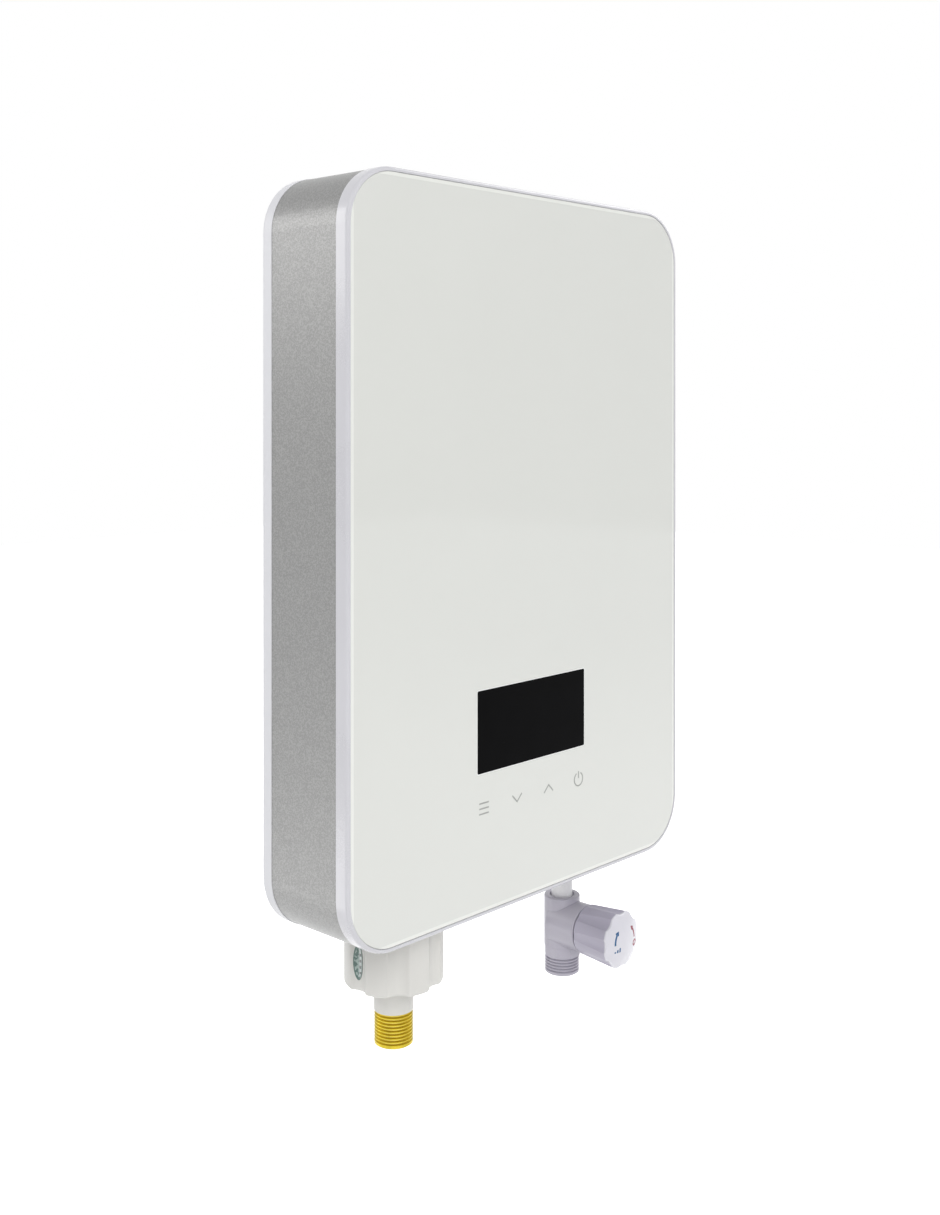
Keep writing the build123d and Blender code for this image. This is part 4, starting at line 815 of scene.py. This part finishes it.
class HeaterStudio(bpy.types.Operator):
    """Set up the plain floor, white background, soft lamps and camera"""

    bl_idname = "heater.studio"
    bl_label = "Studio"

    def execute(self, context):
        self.background(context.scene)
        self.floor()
        for lamp in LAMPS:
            self.lamp(*lamp)
        self.camera(context.scene)
        context.scene.view_settings.view_transform = "Standard"
        return {"FINISHED"}

    def background(self, scene):
        """Plain white for the camera and in reflections, and a soft grey light for the rest."""
        world = bpy.data.worlds.new("studio_world")
        world.use_nodes = True
        world.node_tree.nodes.clear()
        sky = Nodes(world.node_tree)
        lit = sky.node("Background", {}, {"Color": SKY_TINT, "Strength": SKY_STRENGTH})
        white = sky.node("Background", {}, {"Color": WHITE})
        either = sky.node("MixShader", {},
                          {0: sky.shown(), 1: lit.outputs[0], 2: white.outputs[0]})
        sky.node("OutputWorld", {}, {"Surface": either.outputs[0]})
        scene.world = world

    def floor(self):
        """A pale floor well below the heater, which hangs as it does on its wall."""
        shape = bmesh.new()
        corners = [(x * FLOOR_REACH, y * FLOOR_REACH, FLOOR_LEVEL)
                   for x, y in ((-1, -1), (1, -1), (1, 1), (-1, 1))]
        shape.faces.new([shape.verts.new(corner) for corner in corners])
        mesh = bpy.data.meshes.new("floor")
        shape.to_mesh(mesh)
        shape.free()
        ground = bpy.data.objects.new("floor", mesh)
        bpy.context.scene.collection.objects.link(ground)
        finish = Finish("floor_paper", 0.9, {"Emission Strength": 1.0})
        finish.feed("Base Color", FLOOR_PAPER)
        finish.feed("Emission Color", finish.mix(BLACK, FLOOR_GLOW, finish.shown()))
        mesh.materials.append(finish.material)

    def lamp(self, name, place, size, power, mirrored):
        """A soft round lamp aimed at the heater; glossy faces show it only if mirrored."""
        data = bpy.data.lights.new(name, "AREA")
        data.shape = "DISK"
        data.size, data.energy = size, power
        data.color = LAMP_TINT
        lamp = bpy.data.objects.new(name, data)
        lamp.location = place
        lamp.visible_glossy = mirrored
        lamp.rotation_mode = "QUATERNION"
        lamp.rotation_quaternion = (Vector(LAMP_AIM) - Vector(place)).to_track_quat("-Z", "Y")
        bpy.context.scene.collection.objects.link(lamp)

    def camera(self, scene):
        """A level view from the left and front, framed downwards by its shift."""
        data = bpy.data.cameras.new("camera")
        data.sensor_fit, data.sensor_width = "HORIZONTAL", CAMERA_SENSOR
        data.lens, data.shift_y = CAMERA_LENS, CAMERA_SHIFT
        data.clip_start, data.clip_end = CAMERA_RANGE
        camera = bpy.data.objects.new("camera", data)
        turn = Matrix((CAMERA_RIGHT, (0, 0, 1), -Vector(CAMERA_FORWARD))).transposed()
        camera.matrix_world = Matrix.Translation(CAMERA_PLACE) @ turn.to_4x4()
        scene.collection.objects.link(camera)
        scene.camera = camera


class HeaterPanel(bpy.types.Panel):
    """The heater's pieces and settings"""

    bl_idname = "VIEW3D_PT_water_heater"
    bl_label = "Water Heater"
    bl_space_type = "VIEW_3D"
    bl_region_type = "UI"
    bl_category = "Water Heater"

    def draw(self, context):
        for group in (context.scene.heater_colours, context.scene.heater_sizes):
            box = self.layout.box()
            for name in group.bl_rna.properties.keys():
                if name not in ("rna_type", "name"):
                    box.prop(group, name)
        for operator in OPERATORS:
            self.layout.operator(operator.bl_idname)


OPERATORS = (HeaterCasing, HeaterGlass, HeaterTouchMarks, HeaterOutlet, HeaterInletValve,
             HeaterWaterWay, HeaterElectrics, HeaterCableEntry, HeaterStudio)
GROUPS = {"heater_colours": HeaterColours, "heater_sizes": HeaterSizes}


def register():
    for kind in (*GROUPS.values(), *OPERATORS, HeaterPanel):
        bpy.utils.register_class(kind)
    for name, group in GROUPS.items():
        setattr(bpy.types.Scene, name, PointerProperty(type=group))


def unregister():
    for name in GROUPS:
        delattr(bpy.types.Scene, name)
    for kind in reversed((*GROUPS.values(), *OPERATORS, HeaterPanel)):
        bpy.utils.unregister_class(kind)


def main():
    register()
    for operator in OPERATORS:
        family, name = operator.bl_idname.split(".")
        getattr(getattr(bpy.ops, family), name)()


if __name__ == "__main__":
    main()
